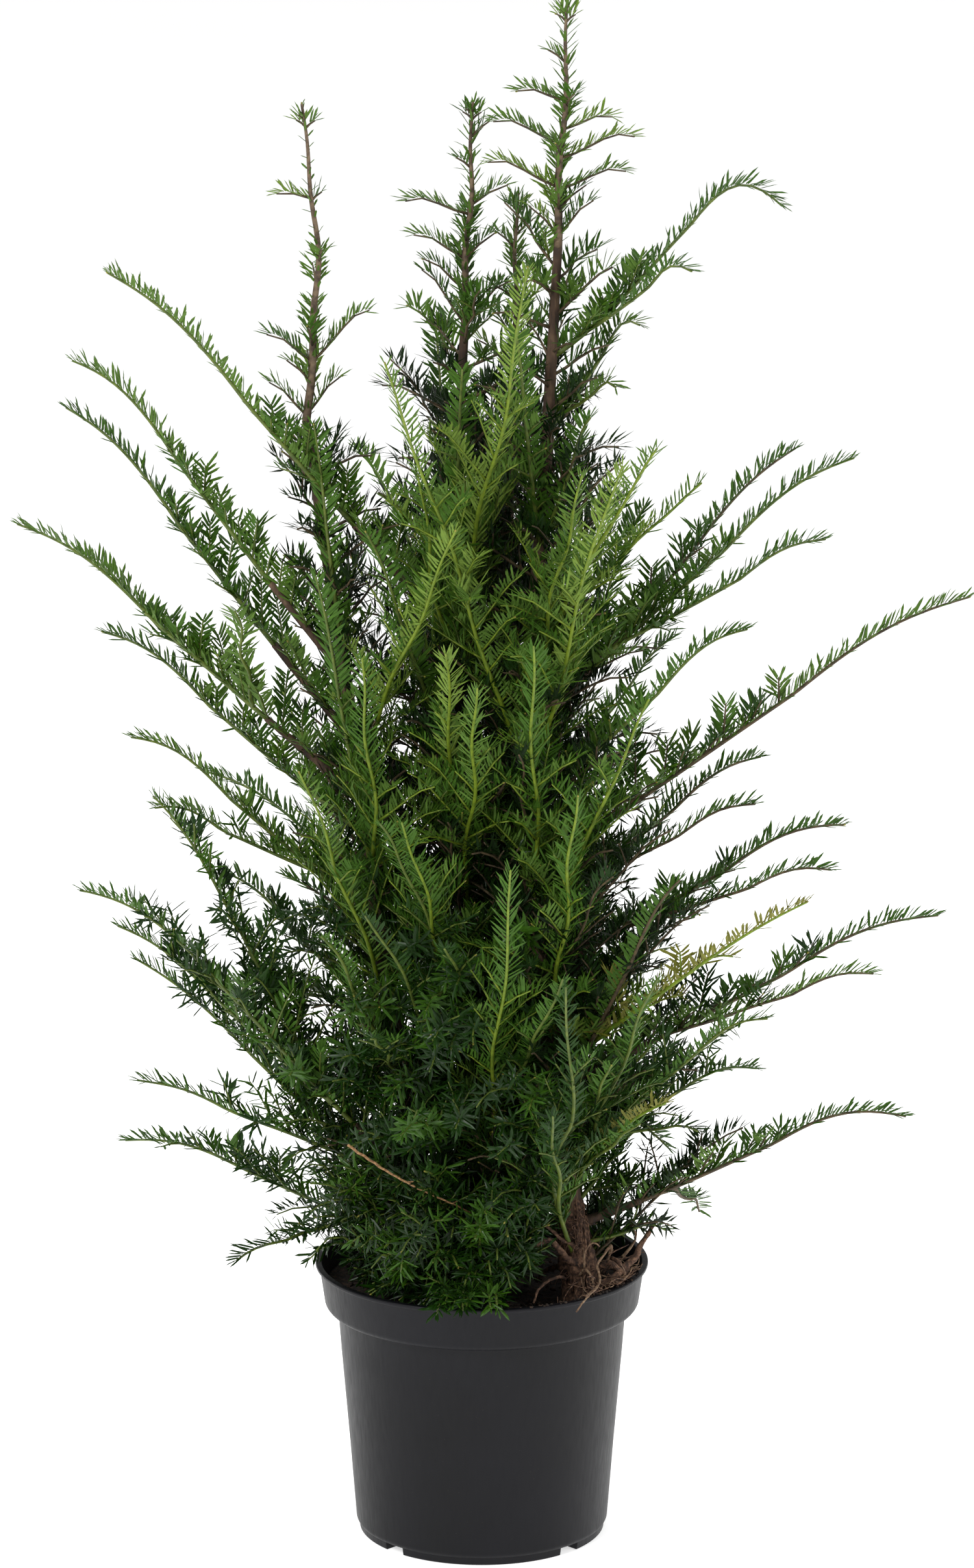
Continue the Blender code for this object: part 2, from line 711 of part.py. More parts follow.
def side_twigs(shoot, forks, mass, space, chance):
    """Twigs on both sides of a long shoot, clear of where forks leave it, in the mass's space."""
    length = sum((b - a).length for a, b in zip(shoot.path, shoot.path[1:]))
    count = int(length / TWIG_SPACING)
    twigs = []
    for k in range(count):
        share = TWIG_FIRST + TWIG_STRETCH * (k + chance.uniform(-0.2, 0.2)) / max(count, 1)
        root = point_on(shoot.path, share)
        if any((root - fork.path[0]).length < FORK_CLEAR for fork in forks):
            continue
        ahead = (point_on(shoot.path, share + 0.05) - root).normalized()
        across = sideways(ahead) * (1 if k % 2 else -1)
        angle = TWIG_ANGLE * chance.uniform(*LEAN_SPREAD)
        heading = ahead * math.cos(angle) + across * math.sin(angle)
        heading.z += chance.uniform(0.0, 0.15)
        reach = min(TWIG_LONGEST, length * TWIG_SHARE) * (1 - 0.75 * share)
        reach *= chance.uniform(*LEAN_SPREAD)
        while reach > TWIG_SHORTEST:
            end = root + heading.normalized() * reach
            path = arched_path(root, end, 0.003, TWIG_PITCH)
            if all(space.holds(mass, point, shoot.path) for point in path[1:]):
                twigs.append(Shoot(path, SHOOT_RADIUS * 0.62, TIP_RADIUS * 0.8, NEEDLE * 0.85))
                break
            reach *= 0.75
    return twigs


def join(name, pieces, collection, cutters):
    """One union of a mass's pieces, kept in the first of them."""
    others = bpy.data.collections.new(name + "_pieces")
    cutters.children.link(others)
    for piece in pieces[1:]:
        collection.objects.unlink(piece)
        others.objects.link(piece)
    mass = pieces[0]
    mass.name = mass.data.name = name
    if len(pieces) > 1:
        combine(mass, "UNION", others)
    for piece in list(others.objects):
        bpy.data.objects.remove(piece, do_unlink=True)
    bpy.data.collections.remove(others)
    return mass


def keep_largest(obj):
    """Leave only the body with the most faces, which is the piece itself."""
    bm = bmesh.new()
    bm.from_mesh(obj.data)
    bmesh.ops.remove_doubles(bm, verts=bm.verts, dist=MERGE)
    left, bodies = set(bm.faces), []
    while left:
        body, edge = set(), [next(iter(left))]
        while edge:
            face = edge.pop()
            if face in body:
                continue
            body.add(face)
            for side in face.edges:
                edge += [other for other in side.link_faces if other not in body]
        left -= body
        bodies.append(body)
    bodies.sort(key=len)
    loose = [face for body in bodies[:-1] for face in body]
    if loose:
        bmesh.ops.delete(bm, geom=loose, context="FACES")
    bmesh.ops.triangulate(bm, faces=bm.faces)
    bm.to_mesh(obj.data)
    bm.free()


def make_mass(name, masses, space, collection, cutters, stem_cutters):
    stem, shoots = masses[name]
    chance = random.Random("%s mass %d" % (name, SEED))
    pieces = []
    for k, shoot in enumerate(shoots):
        grown = [shoot]
        if name not in LEADERS:
            grown += side_twigs(shoot, shoots[k + 1 :], name, space, chance)
        for j, one in enumerate(grown):
            label = "%s_%d_%d" % (name, k, j)
            pieces.append(feathered(label, one, name, space, chance, collection))
    mass = join(name + "_needles", pieces, collection, cutters)
    if name not in LEADERS:
        combine(mass, "DIFFERENCE", stem_cutters[stem])
    keep_largest(mass)
    return mass


def make_bough(name, boughs, collection, stem_cutters):
    stem, path = boughs[name]
    _, at_stem = stem_at(stem, path[0].z)
    thick = min(at_stem * BOUGH_SHARE, BOUGH_RADIUS)
    count = len(path) - 1
    radii = [thick + (SHOOT_RADIUS * BOUGH_TIP - thick) * k / count for k in range(count + 1)]
    bough = limb(name + "_bough", path, radii, BOUGH_SEGMENTS, BARK, collection)
    combine(bough, "DIFFERENCE", stem_cutters[stem])
    keep_largest(bough)
    return bough


def make_roots(collection, cutters, stem_cutters):
    """Bare roots that leave the main stem's flare and lie over the soil."""
    foot = Vector(STEMS[FLARED_STEM][0][:3])
    pieces = []
    for k, (bearing, length, rise) in enumerate(ROOTS):
        turn = math.radians(bearing)
        start = foot + Vector((0, 0, ROOT_LEAVES))
        end = foot + Vector((length * math.cos(turn), length * math.sin(turn), rise))
        path = arched_path(start, end, ROOT_ARCH, ROOT_STEP)
        radii = [ROOT_RADIUS * (1 - ROOT_THINS * j / (len(path) - 1)) for j in range(len(path))]
        pieces.append(limb("root_%d" % k, path, radii, BOUGH_SEGMENTS, BARK, collection))
    roots = join("surface_roots", pieces, collection, cutters)
    combine(roots, "DIFFERENCE", stem_cutters[FLARED_STEM])
    keep_largest(roots)
    return roots


def main():
    clear_scene()
    yew = new_collection("english_yew")
    cutters = new_collection("cutters")
    make_pot(yew, cutters)
    make_soil(yew)
    masses, boughs = plan_masses()
    space = Space(masses, boughs)
    stem_cutters = {}
    for name in STEMS:
        make_stem(name, yew)
        cutter = make_stem(name, cutters, CLEAR)
        cutter.name = name + "_cutter"
        cutter.display_type = "WIRE"
        cutter.hide_render = True
        stem_cutters[name] = cutter
    for name in boughs:
        make_bough(name, boughs, yew, stem_cutters)
    for name in masses:
        make_mass(name, masses, space, yew, cutters, stem_cutters)
    make_roots(yew, cutters, stem_cutters)


main()
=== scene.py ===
import math
import random

import bpy
import numpy as np
from mathutils import Matrix, Vector, noise


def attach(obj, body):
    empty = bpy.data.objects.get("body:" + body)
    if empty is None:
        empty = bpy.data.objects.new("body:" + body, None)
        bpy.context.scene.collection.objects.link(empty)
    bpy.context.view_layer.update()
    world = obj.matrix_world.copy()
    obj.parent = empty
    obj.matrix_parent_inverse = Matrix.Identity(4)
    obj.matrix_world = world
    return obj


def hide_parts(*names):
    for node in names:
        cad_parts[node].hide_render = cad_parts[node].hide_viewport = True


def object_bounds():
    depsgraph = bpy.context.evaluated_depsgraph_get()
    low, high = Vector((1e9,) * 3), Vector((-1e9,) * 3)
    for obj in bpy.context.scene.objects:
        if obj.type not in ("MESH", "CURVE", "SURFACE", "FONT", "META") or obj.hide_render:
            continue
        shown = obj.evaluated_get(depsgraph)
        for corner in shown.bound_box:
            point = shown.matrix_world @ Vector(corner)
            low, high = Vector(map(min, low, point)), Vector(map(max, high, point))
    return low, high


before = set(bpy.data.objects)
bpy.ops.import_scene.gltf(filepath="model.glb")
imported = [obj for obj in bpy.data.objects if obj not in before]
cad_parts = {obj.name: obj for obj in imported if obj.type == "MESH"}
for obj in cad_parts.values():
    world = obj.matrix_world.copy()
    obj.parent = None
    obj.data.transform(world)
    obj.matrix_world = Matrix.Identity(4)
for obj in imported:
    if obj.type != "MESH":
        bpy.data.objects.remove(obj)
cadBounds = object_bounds()
bpy.ops.object.select_all(action="DESELECT")
print("frame loaded:", len(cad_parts), "nodes")

# metres throughout, +Z up, the front of the plant faces -Y
view = {"place": (0.0044, -5.0, 1.832), "tiltDown": 13.35, "lens": 142.74, "sensor": 36.0}


def makeCamera():
    bpy.ops.object.camera_add(location=view["place"])
    camera = bpy.context.object
    camera.rotation_euler = (math.radians(90 - view["tiltDown"]), 0, 0)
    camera.data.lens = view["lens"]
    camera.data.sensor_width = view["sensor"]
    bpy.context.scene.camera = camera


# a white studio: a soft box at the front left, weaker ones at the right and above, and a pale floor
studio = {
    "world": 0.42,
    "floorSize": 90.0,
    "floorGlow": 0.62,
    "lamps": {
        "keyLeft": {"place": (-1.9, -2.9, 3.1), "aim": (0, 0, 0.85), "size": 1.4, "power": 105},
        "sideRight": {"place": (3.0, -0.7, 1.7), "aim": (0, 0, 0.7), "size": 1.6, "power": 34},
        "top": {"place": (0.2, 0.6, 3.6), "aim": (0, 0, 0.9), "size": 2.0, "power": 55},
    },
}


def makeStudio():
    scene = bpy.context.scene
    scene.view_settings.view_transform = "Standard"
    world = bpy.data.worlds.new("studioWorld")
    world.use_nodes = True
    background = world.node_tree.nodes["Background"]
    background.inputs["Color"].default_value = (1, 1, 1, 1)
    background.inputs["Strength"].default_value = studio["world"]
    scene.world = world
    for name, lamp in studio["lamps"].items():
        bpy.ops.object.light_add(type="AREA", location=lamp["place"])
        light = bpy.context.object
        light.name = name
        light.data.shape = "SQUARE"
        light.data.size = lamp["size"]
        light.data.energy = lamp["power"]
        aim = Vector(lamp["aim"]) - Vector(lamp["place"])
        light.rotation_euler = aim.to_track_quat("-Z", "Y").to_euler()
    bpy.ops.mesh.primitive_plane_add(size=studio["floorSize"], location=(0, 0, -0.0002))
    floor = bpy.context.object
    floor.name = "studio_floor"
    floor.data.materials.append(paintedFloor())
    print("studio ready:", len(studio["lamps"]), "lamps")


def linear(hexColour):
    shares = [int(hexColour[k : k + 2], 16) / 255 for k in (1, 3, 5)]
    return [s / 12.92 if s <= 0.04045 else ((s + 0.055) / 1.055) ** 2.4 for s in shares] + [1.0]


def addNode(material, kind, inputs, **settings):
    # a value goes into the socket, and a socket is linked to it
    node = material.node_tree.nodes.new(kind)
    for name, value in settings.items():
        setattr(node, name, value)
    for name, value in inputs.items():
        if isinstance(value, bpy.types.NodeSocket):
            material.node_tree.links.new(value, node.inputs[name])
        else:
            node.inputs[name].default_value = value
    return node


def newMaterial(name, **values):
    material = bpy.data.materials.new(name)
    material.use_nodes = True
    surface = material.node_tree.nodes["Principled BSDF"]
    for key, value in values.items():
        surface.inputs[key].default_value = value
    coords = addNode(material, "ShaderNodeTexCoord", {}).outputs["Object"]
    return material, surface, coords


def ramp(material, factor, stops):
    # colours in order along a noise value, each at its own place
    node = addNode(material, "ShaderNodeValToRGB", {"Fac": factor})
    while len(node.color_ramp.elements) < len(stops):
        node.color_ramp.elements.new(0.5)
    for element, (place, hexColour) in zip(node.color_ramp.elements, stops):
        element.position = place
        element.color = linear(hexColour)
    return node.outputs["Color"]


def feed(material, surface, colour=None, roughness=None, height=None, depth=0.001, strength=1.0):
    links = material.node_tree.links
    if colour is not None:
        links.new(colour, surface.inputs["Base Color"])
    if roughness is not None:
        links.new(roughness, surface.inputs["Roughness"])
    if height is not None:
        bump = addNode(
            material, "ShaderNodeBump", {"Height": height, "Distance": depth, "Strength": strength}
        )
        links.new(bump.outputs["Normal"], surface.inputs["Normal"])


def spread(material, factor, low, high):
    # a noise value of 0 to 1 stretched to a range of roughness
    inputs = {"Value": factor, "From Min": 0.3, "From Max": 0.7, "To Min": low, "To Max": high}
    return addNode(material, "ShaderNodeMapRange", inputs).outputs["Result"]


def paintedFloor():
    # matt white studio paint: it only needs to stay pale and even
    material, surface, coords = newMaterial("matt studio paint", Roughness=0.9)
    cloud = addNode(material, "ShaderNodeTexNoise", {"Vector": coords, "Scale": 0.7})
    colour = ramp(material, cloud.outputs["Fac"], [(0.3, "#f1f1f0"), (0.7, "#f5f5f4")])
    feed(material, surface, colour)
    surface.inputs["Emission Color"].default_value = (1, 1, 1, 1)
    surface.inputs["Emission Strength"].default_value = studio["floorGlow"]
    return material


# needle colours: the waxy dark upper side, and the paler matt underside with its light bands;
# the tones from sunlit to inner are lit and shaded copies of one needle, painted light and painted shade;
# the paler middle tone is partly the lighter young growth, the darker middle tone partly the older needles,
# and olive is the needles' own tint; the needles deep inside the crown have fewer faces
needleTones = {
    "sunlit": {"upper": "#5a7620", "under": "#6b8434", "rough": 0.45, "gloss": 0.26, "plain": False},
    "freshLit": {"upper": "#456519", "under": "#52702a", "rough": 0.44, "gloss": 0.26, "plain": False},
    "matureHalfShade": {"upper": "#30520c", "under": "#3c5f16", "rough": 0.40, "gloss": 0.28, "plain": False},
    "shaded": {"upper": "#153203", "under": "#1f3d09", "rough": 0.36, "gloss": 0.28, "plain": False},
    "deep": {"upper": "#102a02", "under": "#183407", "rough": 0.38, "gloss": 0.26, "plain": True},
    "inner": {"upper": "#0b1c02", "under": "#112605", "rough": 0.42, "gloss": 0.22, "plain": True},
    "olive": {"upper": "#6b6c24", "under": "#787836", "rough": 0.48, "gloss": 0.24, "plain": False},
}


def needleMaterials(tone):
    # yew leaf, a flat needle with a waxed cuticle: soft gloss above, almost matt below
    made = []
    look = needleTones[tone]
    for side, matt in (("upper", 0), ("under", 0.16)):
        name = "yew needle %s %s" % (tone, side)
        rough = look["rough"] + matt
        values = {"Roughness": rough, "IOR": 1.45, "Specular IOR Level": look["gloss"]}
        material, surface, coords = newMaterial(name, **values)
        base = linear(look[side])
        patches = addNode(material, "ShaderNodeTexNoise", {"Vector": coords, "Scale": 170.0, "Detail": 2.0})
        inputs = {"Factor": patches.outputs["Fac"]}
        mix = addNode(material, "ShaderNodeMix", inputs, data_type="RGBA")
        mix.inputs[6].default_value = [c * 0.58 for c in base[:3]] + [1]
        mix.inputs[7].default_value = [c * 1.42 for c in base[:3]] + [1]
        grain = addNode(material, "ShaderNodeTexNoise", {"Vector": coords, "Scale": 1400.0})
        feed(
            material,
            surface,
            colour=mix.outputs[2],
            roughness=spread(material, patches.outputs["Fac"], rough - 0.05, rough + 0.05),
            height=grain.outputs["Fac"],
            depth=0.0001,
            strength=0.3,
        )
        made.append(material)
    return made


# young wood: green while it carries needles, brown once it is older than a year or two
shootTones = {
    "lime": {"pale": "#768a1c", "deep": "#5a7014", "rough": 0.5},
    "green": {"pale": "#5f6e22", "deep": "#425318", "rough": 0.55},
    "brown": {"pale": "#5c4c31", "deep": "#392f1f", "rough": 0.7},
    "grey": {"pale": "#77644e", "deep": "#43352a", "rough": 0.75},
}


def shootMaterial(tone):
    # unripened yew shoot: smooth green rind with short ridges below each needle
    look = shootTones[tone]
    material, surface, coords = newMaterial("yew shoot rind " + tone, Roughness=look["rough"])
    streaks = addNode(material, "ShaderNodeTexNoise", {"Vector": coords, "Scale": 160.0, "Detail": 3.0})
    colour = ramp(material, streaks.outputs["Fac"], [(0.35, look["deep"]), (0.65, look["pale"])])
    feed(material, surface, colour, height=streaks.outputs["Fac"], depth=0.0006, strength=0.6)
    return material


def barkMaterial():
    # yew bark: thin papery flakes, red-brown where fresh and grey-brown where weathered, quite matt
    material, surface, coords = newMaterial("flaking yew bark", Roughness=0.85)
    stretch = addNode(material, "ShaderNodeMapping", {"Vector": coords, "Scale": (1, 1, 0.16)})
    flakes = addNode(
        material,
        "ShaderNodeTexNoise",
        {"Vector": stretch.outputs["Vector"], "Scale": 260.0, "Detail": 6.0, "Roughness": 0.62},
    )
    broad = addNode(
        material, "ShaderNodeTexNoise", {"Vector": coords, "Scale": 42.0, "Detail": 3.0}
    )
    both = addNode(
        material,
        "ShaderNodeMath",
        {0: flakes.outputs["Fac"], 1: broad.outputs["Fac"]},
        operation="ADD",
    )
    half = addNode(material, "ShaderNodeMath", {0: both.outputs[0], 1: 0.5}, operation="MULTIPLY")
    stops = [(0.34, "#1a110b"), (0.47, "#39291d"), (0.56, "#523e2e"), (0.68, "#746049")]
    colour = ramp(material, half.outputs[0], stops)
    feed(
        material,
        surface,
        colour,
        roughness=spread(material, flakes.outputs["Fac"], 0.72, 0.95),
        height=flakes.outputs["Fac"],
        depth=0.0012,
        strength=0.9,
    )
    return material


def rootMaterial(name, stops):
    # bare fibrous root skin dusted with dry compost: dull tan and brown, no gloss
    material, surface, coords = newMaterial(name, Roughness=0.9)
    fibres = addNode(material, "ShaderNodeTexNoise", {"Vector": coords, "Scale": 300.0, "Detail": 5.0})
    colour = ramp(material, fibres.outputs["Fac"], stops)
    feed(material, surface, colour, height=fibres.outputs["Fac"], depth=0.0010, strength=0.9)
    return material


def plasticMaterial():
    # injection-moulded black polypropylene: satin skin, handling scuffs and a little dust
    material, surface, coords = newMaterial(
        "moulded black polypropylene", **{"Roughness": 0.47, "IOR": 1.49, "Specular IOR Level": 0.22}
    )
    haze = addNode(material, "ShaderNodeTexNoise", {"Vector": coords, "Scale": 9.0, "Detail": 4.0})
    drag = addNode(material, "ShaderNodeMapping", {"Vector": coords, "Scale": (1, 1, 0.12)})
    scuffs = addNode(
        material,
        "ShaderNodeTexNoise",
        {"Vector": drag.outputs["Vector"], "Scale": 420.0, "Detail": 3.0},
    )
    dust = addNode(material, "ShaderNodeTexVoronoi", {"Vector": coords, "Scale": 150.0})
    specks = addNode(
        material,
        "ShaderNodeMapRange",
        {"Value": dust.outputs["Distance"], "From Min": 0.02, "From Max": 0.08, "To Min": 1.0, "To Max": 0.0},
    )
    plain = ramp(material, haze.outputs["Fac"], [(0.35, "#07070b"), (0.65, "#0b0b11")])
    mix = addNode(material, "ShaderNodeMix", {"Factor": specks.outputs["Result"]}, data_type="RGBA")
    material.node_tree.links.new(plain, mix.inputs[6])
    mix.inputs[7].default_value = linear("#22211f")
    feed(
        material,
        surface,
        mix.outputs[2],
        roughness=spread(material, scuffs.outputs["Fac"], 0.38, 0.50),
        height=scuffs.outputs["Fac"],
        depth=0.0002,
        strength=0.12,
    )
    return material


def compostMaterial():
    # damp potting compost: nearly black peat with brown bark fibre, no gloss
    material, surface, coords = newMaterial("damp potting compost", Roughness=0.95)
    crumbs = addNode(material, "ShaderNodeTexNoise", {"Vector": coords, "Scale": 210.0, "Detail": 8.0})
    stops = [(0.36, "#0d0906"), (0.52, "#21160e"), (0.66, "#3d2b1d")]
    colour = ramp(material, crumbs.outputs["Fac"], stops)
    feed(material, surface, colour, height=crumbs.outputs["Fac"], depth=0.003, strength=1.0)
    return material


def budMaterial():
    # closed winter buds: small smooth scales, yellow-green to pale brown
    material, surface, coords = newMaterial("yew bud scales", Roughness=0.5)
    scales = addNode(material, "ShaderNodeTexNoise", {"Vector": coords, "Scale": 800.0})
    colour = ramp(material, scales.outputs["Fac"], [(0.4, "#6d6a24"), (0.6, "#948c36")])
    feed(material, surface, colour)
    return material


# the skeleton: the same stems, leaders and long shoots as the frame's solids have
skeleton = {
    "soil": 0.214,
    "stems": {
        "main_stem": [
            (0.085, -0.050, 0.2143, 0.0110),
            (0.066, -0.035, 0.360, 0.0090),
            (0.036, -0.008, 0.650, 0.0072),
            (0.050, 0.004, 0.870, 0.0056),
            (0.062, 0.013, 1.090, 0.0036),
        ],
        "second_stem": [
            (0.004, 0.032, 0.2143, 0.0095),
            (-0.014, 0.038, 0.500, 0.0075),
            (-0.024, 0.041, 0.800, 0.0056),
            (-0.014, 0.046, 1.020, 0.0034),
        ],
        "left_stem": [
            (-0.040, 0.000, 0.2143, 0.0100),
            (-0.084, 0.000, 0.520, 0.0075),
            (-0.116, 0.000, 0.760, 0.0055),
            (-0.143, 0.000, 0.950, 0.0036),
        ],
        "back_stem": [
            (0.035, 0.068, 0.2143, 0.0090),
            (0.030, 0.090, 0.500, 0.0070),
            (0.022, 0.092, 0.760, 0.0052),
            (0.024, 0.084, 0.930, 0.0034),
        ],
    },
    "leaders": {
        "main_leader": ("main_stem", (0.069, 0.020, 1.287)),
        "second_leader": ("second_stem", (-0.007, 0.052, 1.203)),
        "left_leader": ("left_stem", (-0.145, 0.002, 1.208)),
        "back_leader": ("back_stem", (0.030, 0.078, 1.125)),
    },
}

# long shoots: stem, height on it, then the tip's bearing, reach from the pot's axis and height,
# the rise of the arch, and the share that is a bare bough; a look; and forks, each with the share
# of the shoot where it leaves and its own bearing, reach and height
longShoots = {
    "left_1": ("second_stem", 0.765, 205, 0.325, 1.092, 0.012, 0.30, "side", []),
    "left_2": ("left_stem", 0.740, 185, 0.332, 1.004, 0.017, 0.28, "side", []),
    "left_3": ("left_stem", 0.683, 170, 0.348, 0.950, 0.012, 0.28, "side", []),
    "left_4": (
        "left_stem", 0.635, 180, 0.380, 0.864, 0.010, 0.28, "side",
        [(0.42, 168, 0.346, 0.826), (0.32, 202, 0.215, 0.808)],
    ),
    "left_5": ("left_stem", 0.600, 170, 0.319, 0.762, 0.008, 0, "side", []),
    "left_6": ("left_stem", 0.530, 186, 0.289, 0.692, 0.010, 0, "side", [(0.25, 193, 0.274, 0.640)]),
    "left_7": ("left_stem", 0.430, 167, 0.222, 0.558, 0.008, 0, "low", [(0.20, 158, 0.250, 0.447)]),
    "left_8": (
        "left_stem", 0.300, 206, 0.359, 0.595, 0.026, 0.20, "low",
        [(0.27, 199, 0.282, 0.657), (0.24, 195, 0.308, 0.545)],
    ),
    "left_9": ("left_stem", 0.270, 178, 0.290, 0.494, 0.008, 0, "low", [(0.22, 187, 0.288, 0.401)]),
    "left_10": ("left_stem", 0.245, 172, 0.304, 0.326, 0.012, 0, "low", [(0.25, 196, 0.212, 0.252)]),
    "right_1": ("main_stem", 1.000, 0, 0.243, 1.126, 0.037, 0, "side", [(0.15, 348, 0.173, 1.078)]),
    "right_2": ("main_stem", 0.940, 22, 0.140, 1.020, 0.012, 0, "side", [(0.15, 352, 0.110, 0.980)]),
    "right_3": ("main_stem", 0.740, 315, 0.197, 0.952, 0.005, 0, "lit", [(0.25, 2, 0.180, 0.897)]),
    "right_4": ("main_stem", 0.680, 19, 0.276, 0.911, 0.008, 0, "dim", []),
    "right_5": ("main_stem", 0.700, 4, 0.306, 0.915, 0.010, 0.25, "side", [(0.27, 352, 0.282, 0.859)]),
    "right_6": ("main_stem", 0.577, 0, 0.400, 0.803, 0.011, 0.25, "dim", []),
    "right_7": ("main_stem", 0.625, 335, 0.236, 0.797, 0.008, 0, "side", []),
    "right_8": ("main_stem", 0.540, 14, 0.240, 0.655, 0.006, 0, "dim", [(0.12, 352, 0.227, 0.636)]),
    "right_9": ("main_stem", 0.492, 6, 0.303, 0.603, 0.010, 0.25, "dim", [(0.27, 350, 0.291, 0.585)]),
    "right_10": ("main_stem", 0.411, 324, 0.321, 0.593, 0.006, 0, "tinted", []),
    "right_11": ("main_stem", 0.394, 3, 0.381, 0.528, 0.010, 0.22, "dim", [(0.30, 349, 0.328, 0.500)]),
    "right_12": (
        "main_stem", 0.340, 12, 0.237, 0.387, 0.010, 0, "low",
        [(0.12, 333, 0.261, 0.477), (0.20, 341, 0.189, 0.365)],
    ),
    "right_13": ("main_stem", 0.278, 357, 0.354, 0.365, 0.015, 0.20, "dim", [(0.30, 14, 0.190, 0.262)]),
    "front_1": ("second_stem", 0.748, 282, 0.174, 1.101, -0.015, 0, "lit", []),
    "front_2": ("main_stem", 0.658, 246, 0.186, 1.025, 0.000, 0, "lit", []),
    "front_3": ("main_stem", 0.636, 299, 0.228, 0.949, 0.010, 0, "lit", []),
    "front_4": ("second_stem", 0.270, 276, 0.221, 0.627, -0.020, 0, "front", []),
    "front_5": ("main_stem", 0.243, 287, 0.230, 0.531, -0.010, 0, "frontLow", [(0.20, 286, 0.208, 0.418)]),
    "front_6": ("main_stem", 0.300, 305, 0.245, 0.532, 0.006, 0, "frontLow", [(0.15, 307, 0.213, 0.403)]),
    "front_7": (
        "left_stem", 0.232, 238, 0.150, 0.285, 0.010, 0, "skirt",
        [(0.12, 262, 0.140, 0.272), (0.12, 214, 0.170, 0.330)],
    ),
    "front_8": (
        "second_stem", 0.235, 268, 0.150, 0.300, 0.010, 0, "skirt",
        [(0.12, 288, 0.120, 0.320), (0.12, 250, 0.135, 0.350)],
    ),
    "front_9": ("second_stem", 0.420, 262, 0.212, 0.560, 0.010, 0, "frontLow", [(0.15, 248, 0.215, 0.660)]),
    "front_10": ("left_stem", 0.380, 233, 0.214, 0.560, 0.010, 0, "frontLow", [(0.15, 245, 0.210, 0.480)]),
    "back_1": (
        "back_stem", 0.280, 95, 0.310, 0.400, 0.010, 0, "low",
        [(0.15, 125, 0.290, 0.340), (0.10, 152, 0.165, 0.285)],
    ),
    "back_2": (
        "back_stem", 0.360, 52, 0.330, 0.500, 0.010, 0, "low",
        [(0.15, 75, 0.300, 0.520), (0.10, 25, 0.175, 0.310)],
    ),
    "back_3": ("back_stem", 0.430, 135, 0.340, 0.600, 0.010, 0, "side", [(0.15, 112, 0.320, 0.620)]),
    "back_4": ("back_stem", 0.520, 80, 0.340, 0.730, 0.010, 0.22, "side", [(0.25, 55, 0.290, 0.720)]),
    "back_5": ("back_stem", 0.640, 112, 0.290, 0.880, 0.010, 0, "side", [(0.15, 82, 0.220, 0.930)]),
}

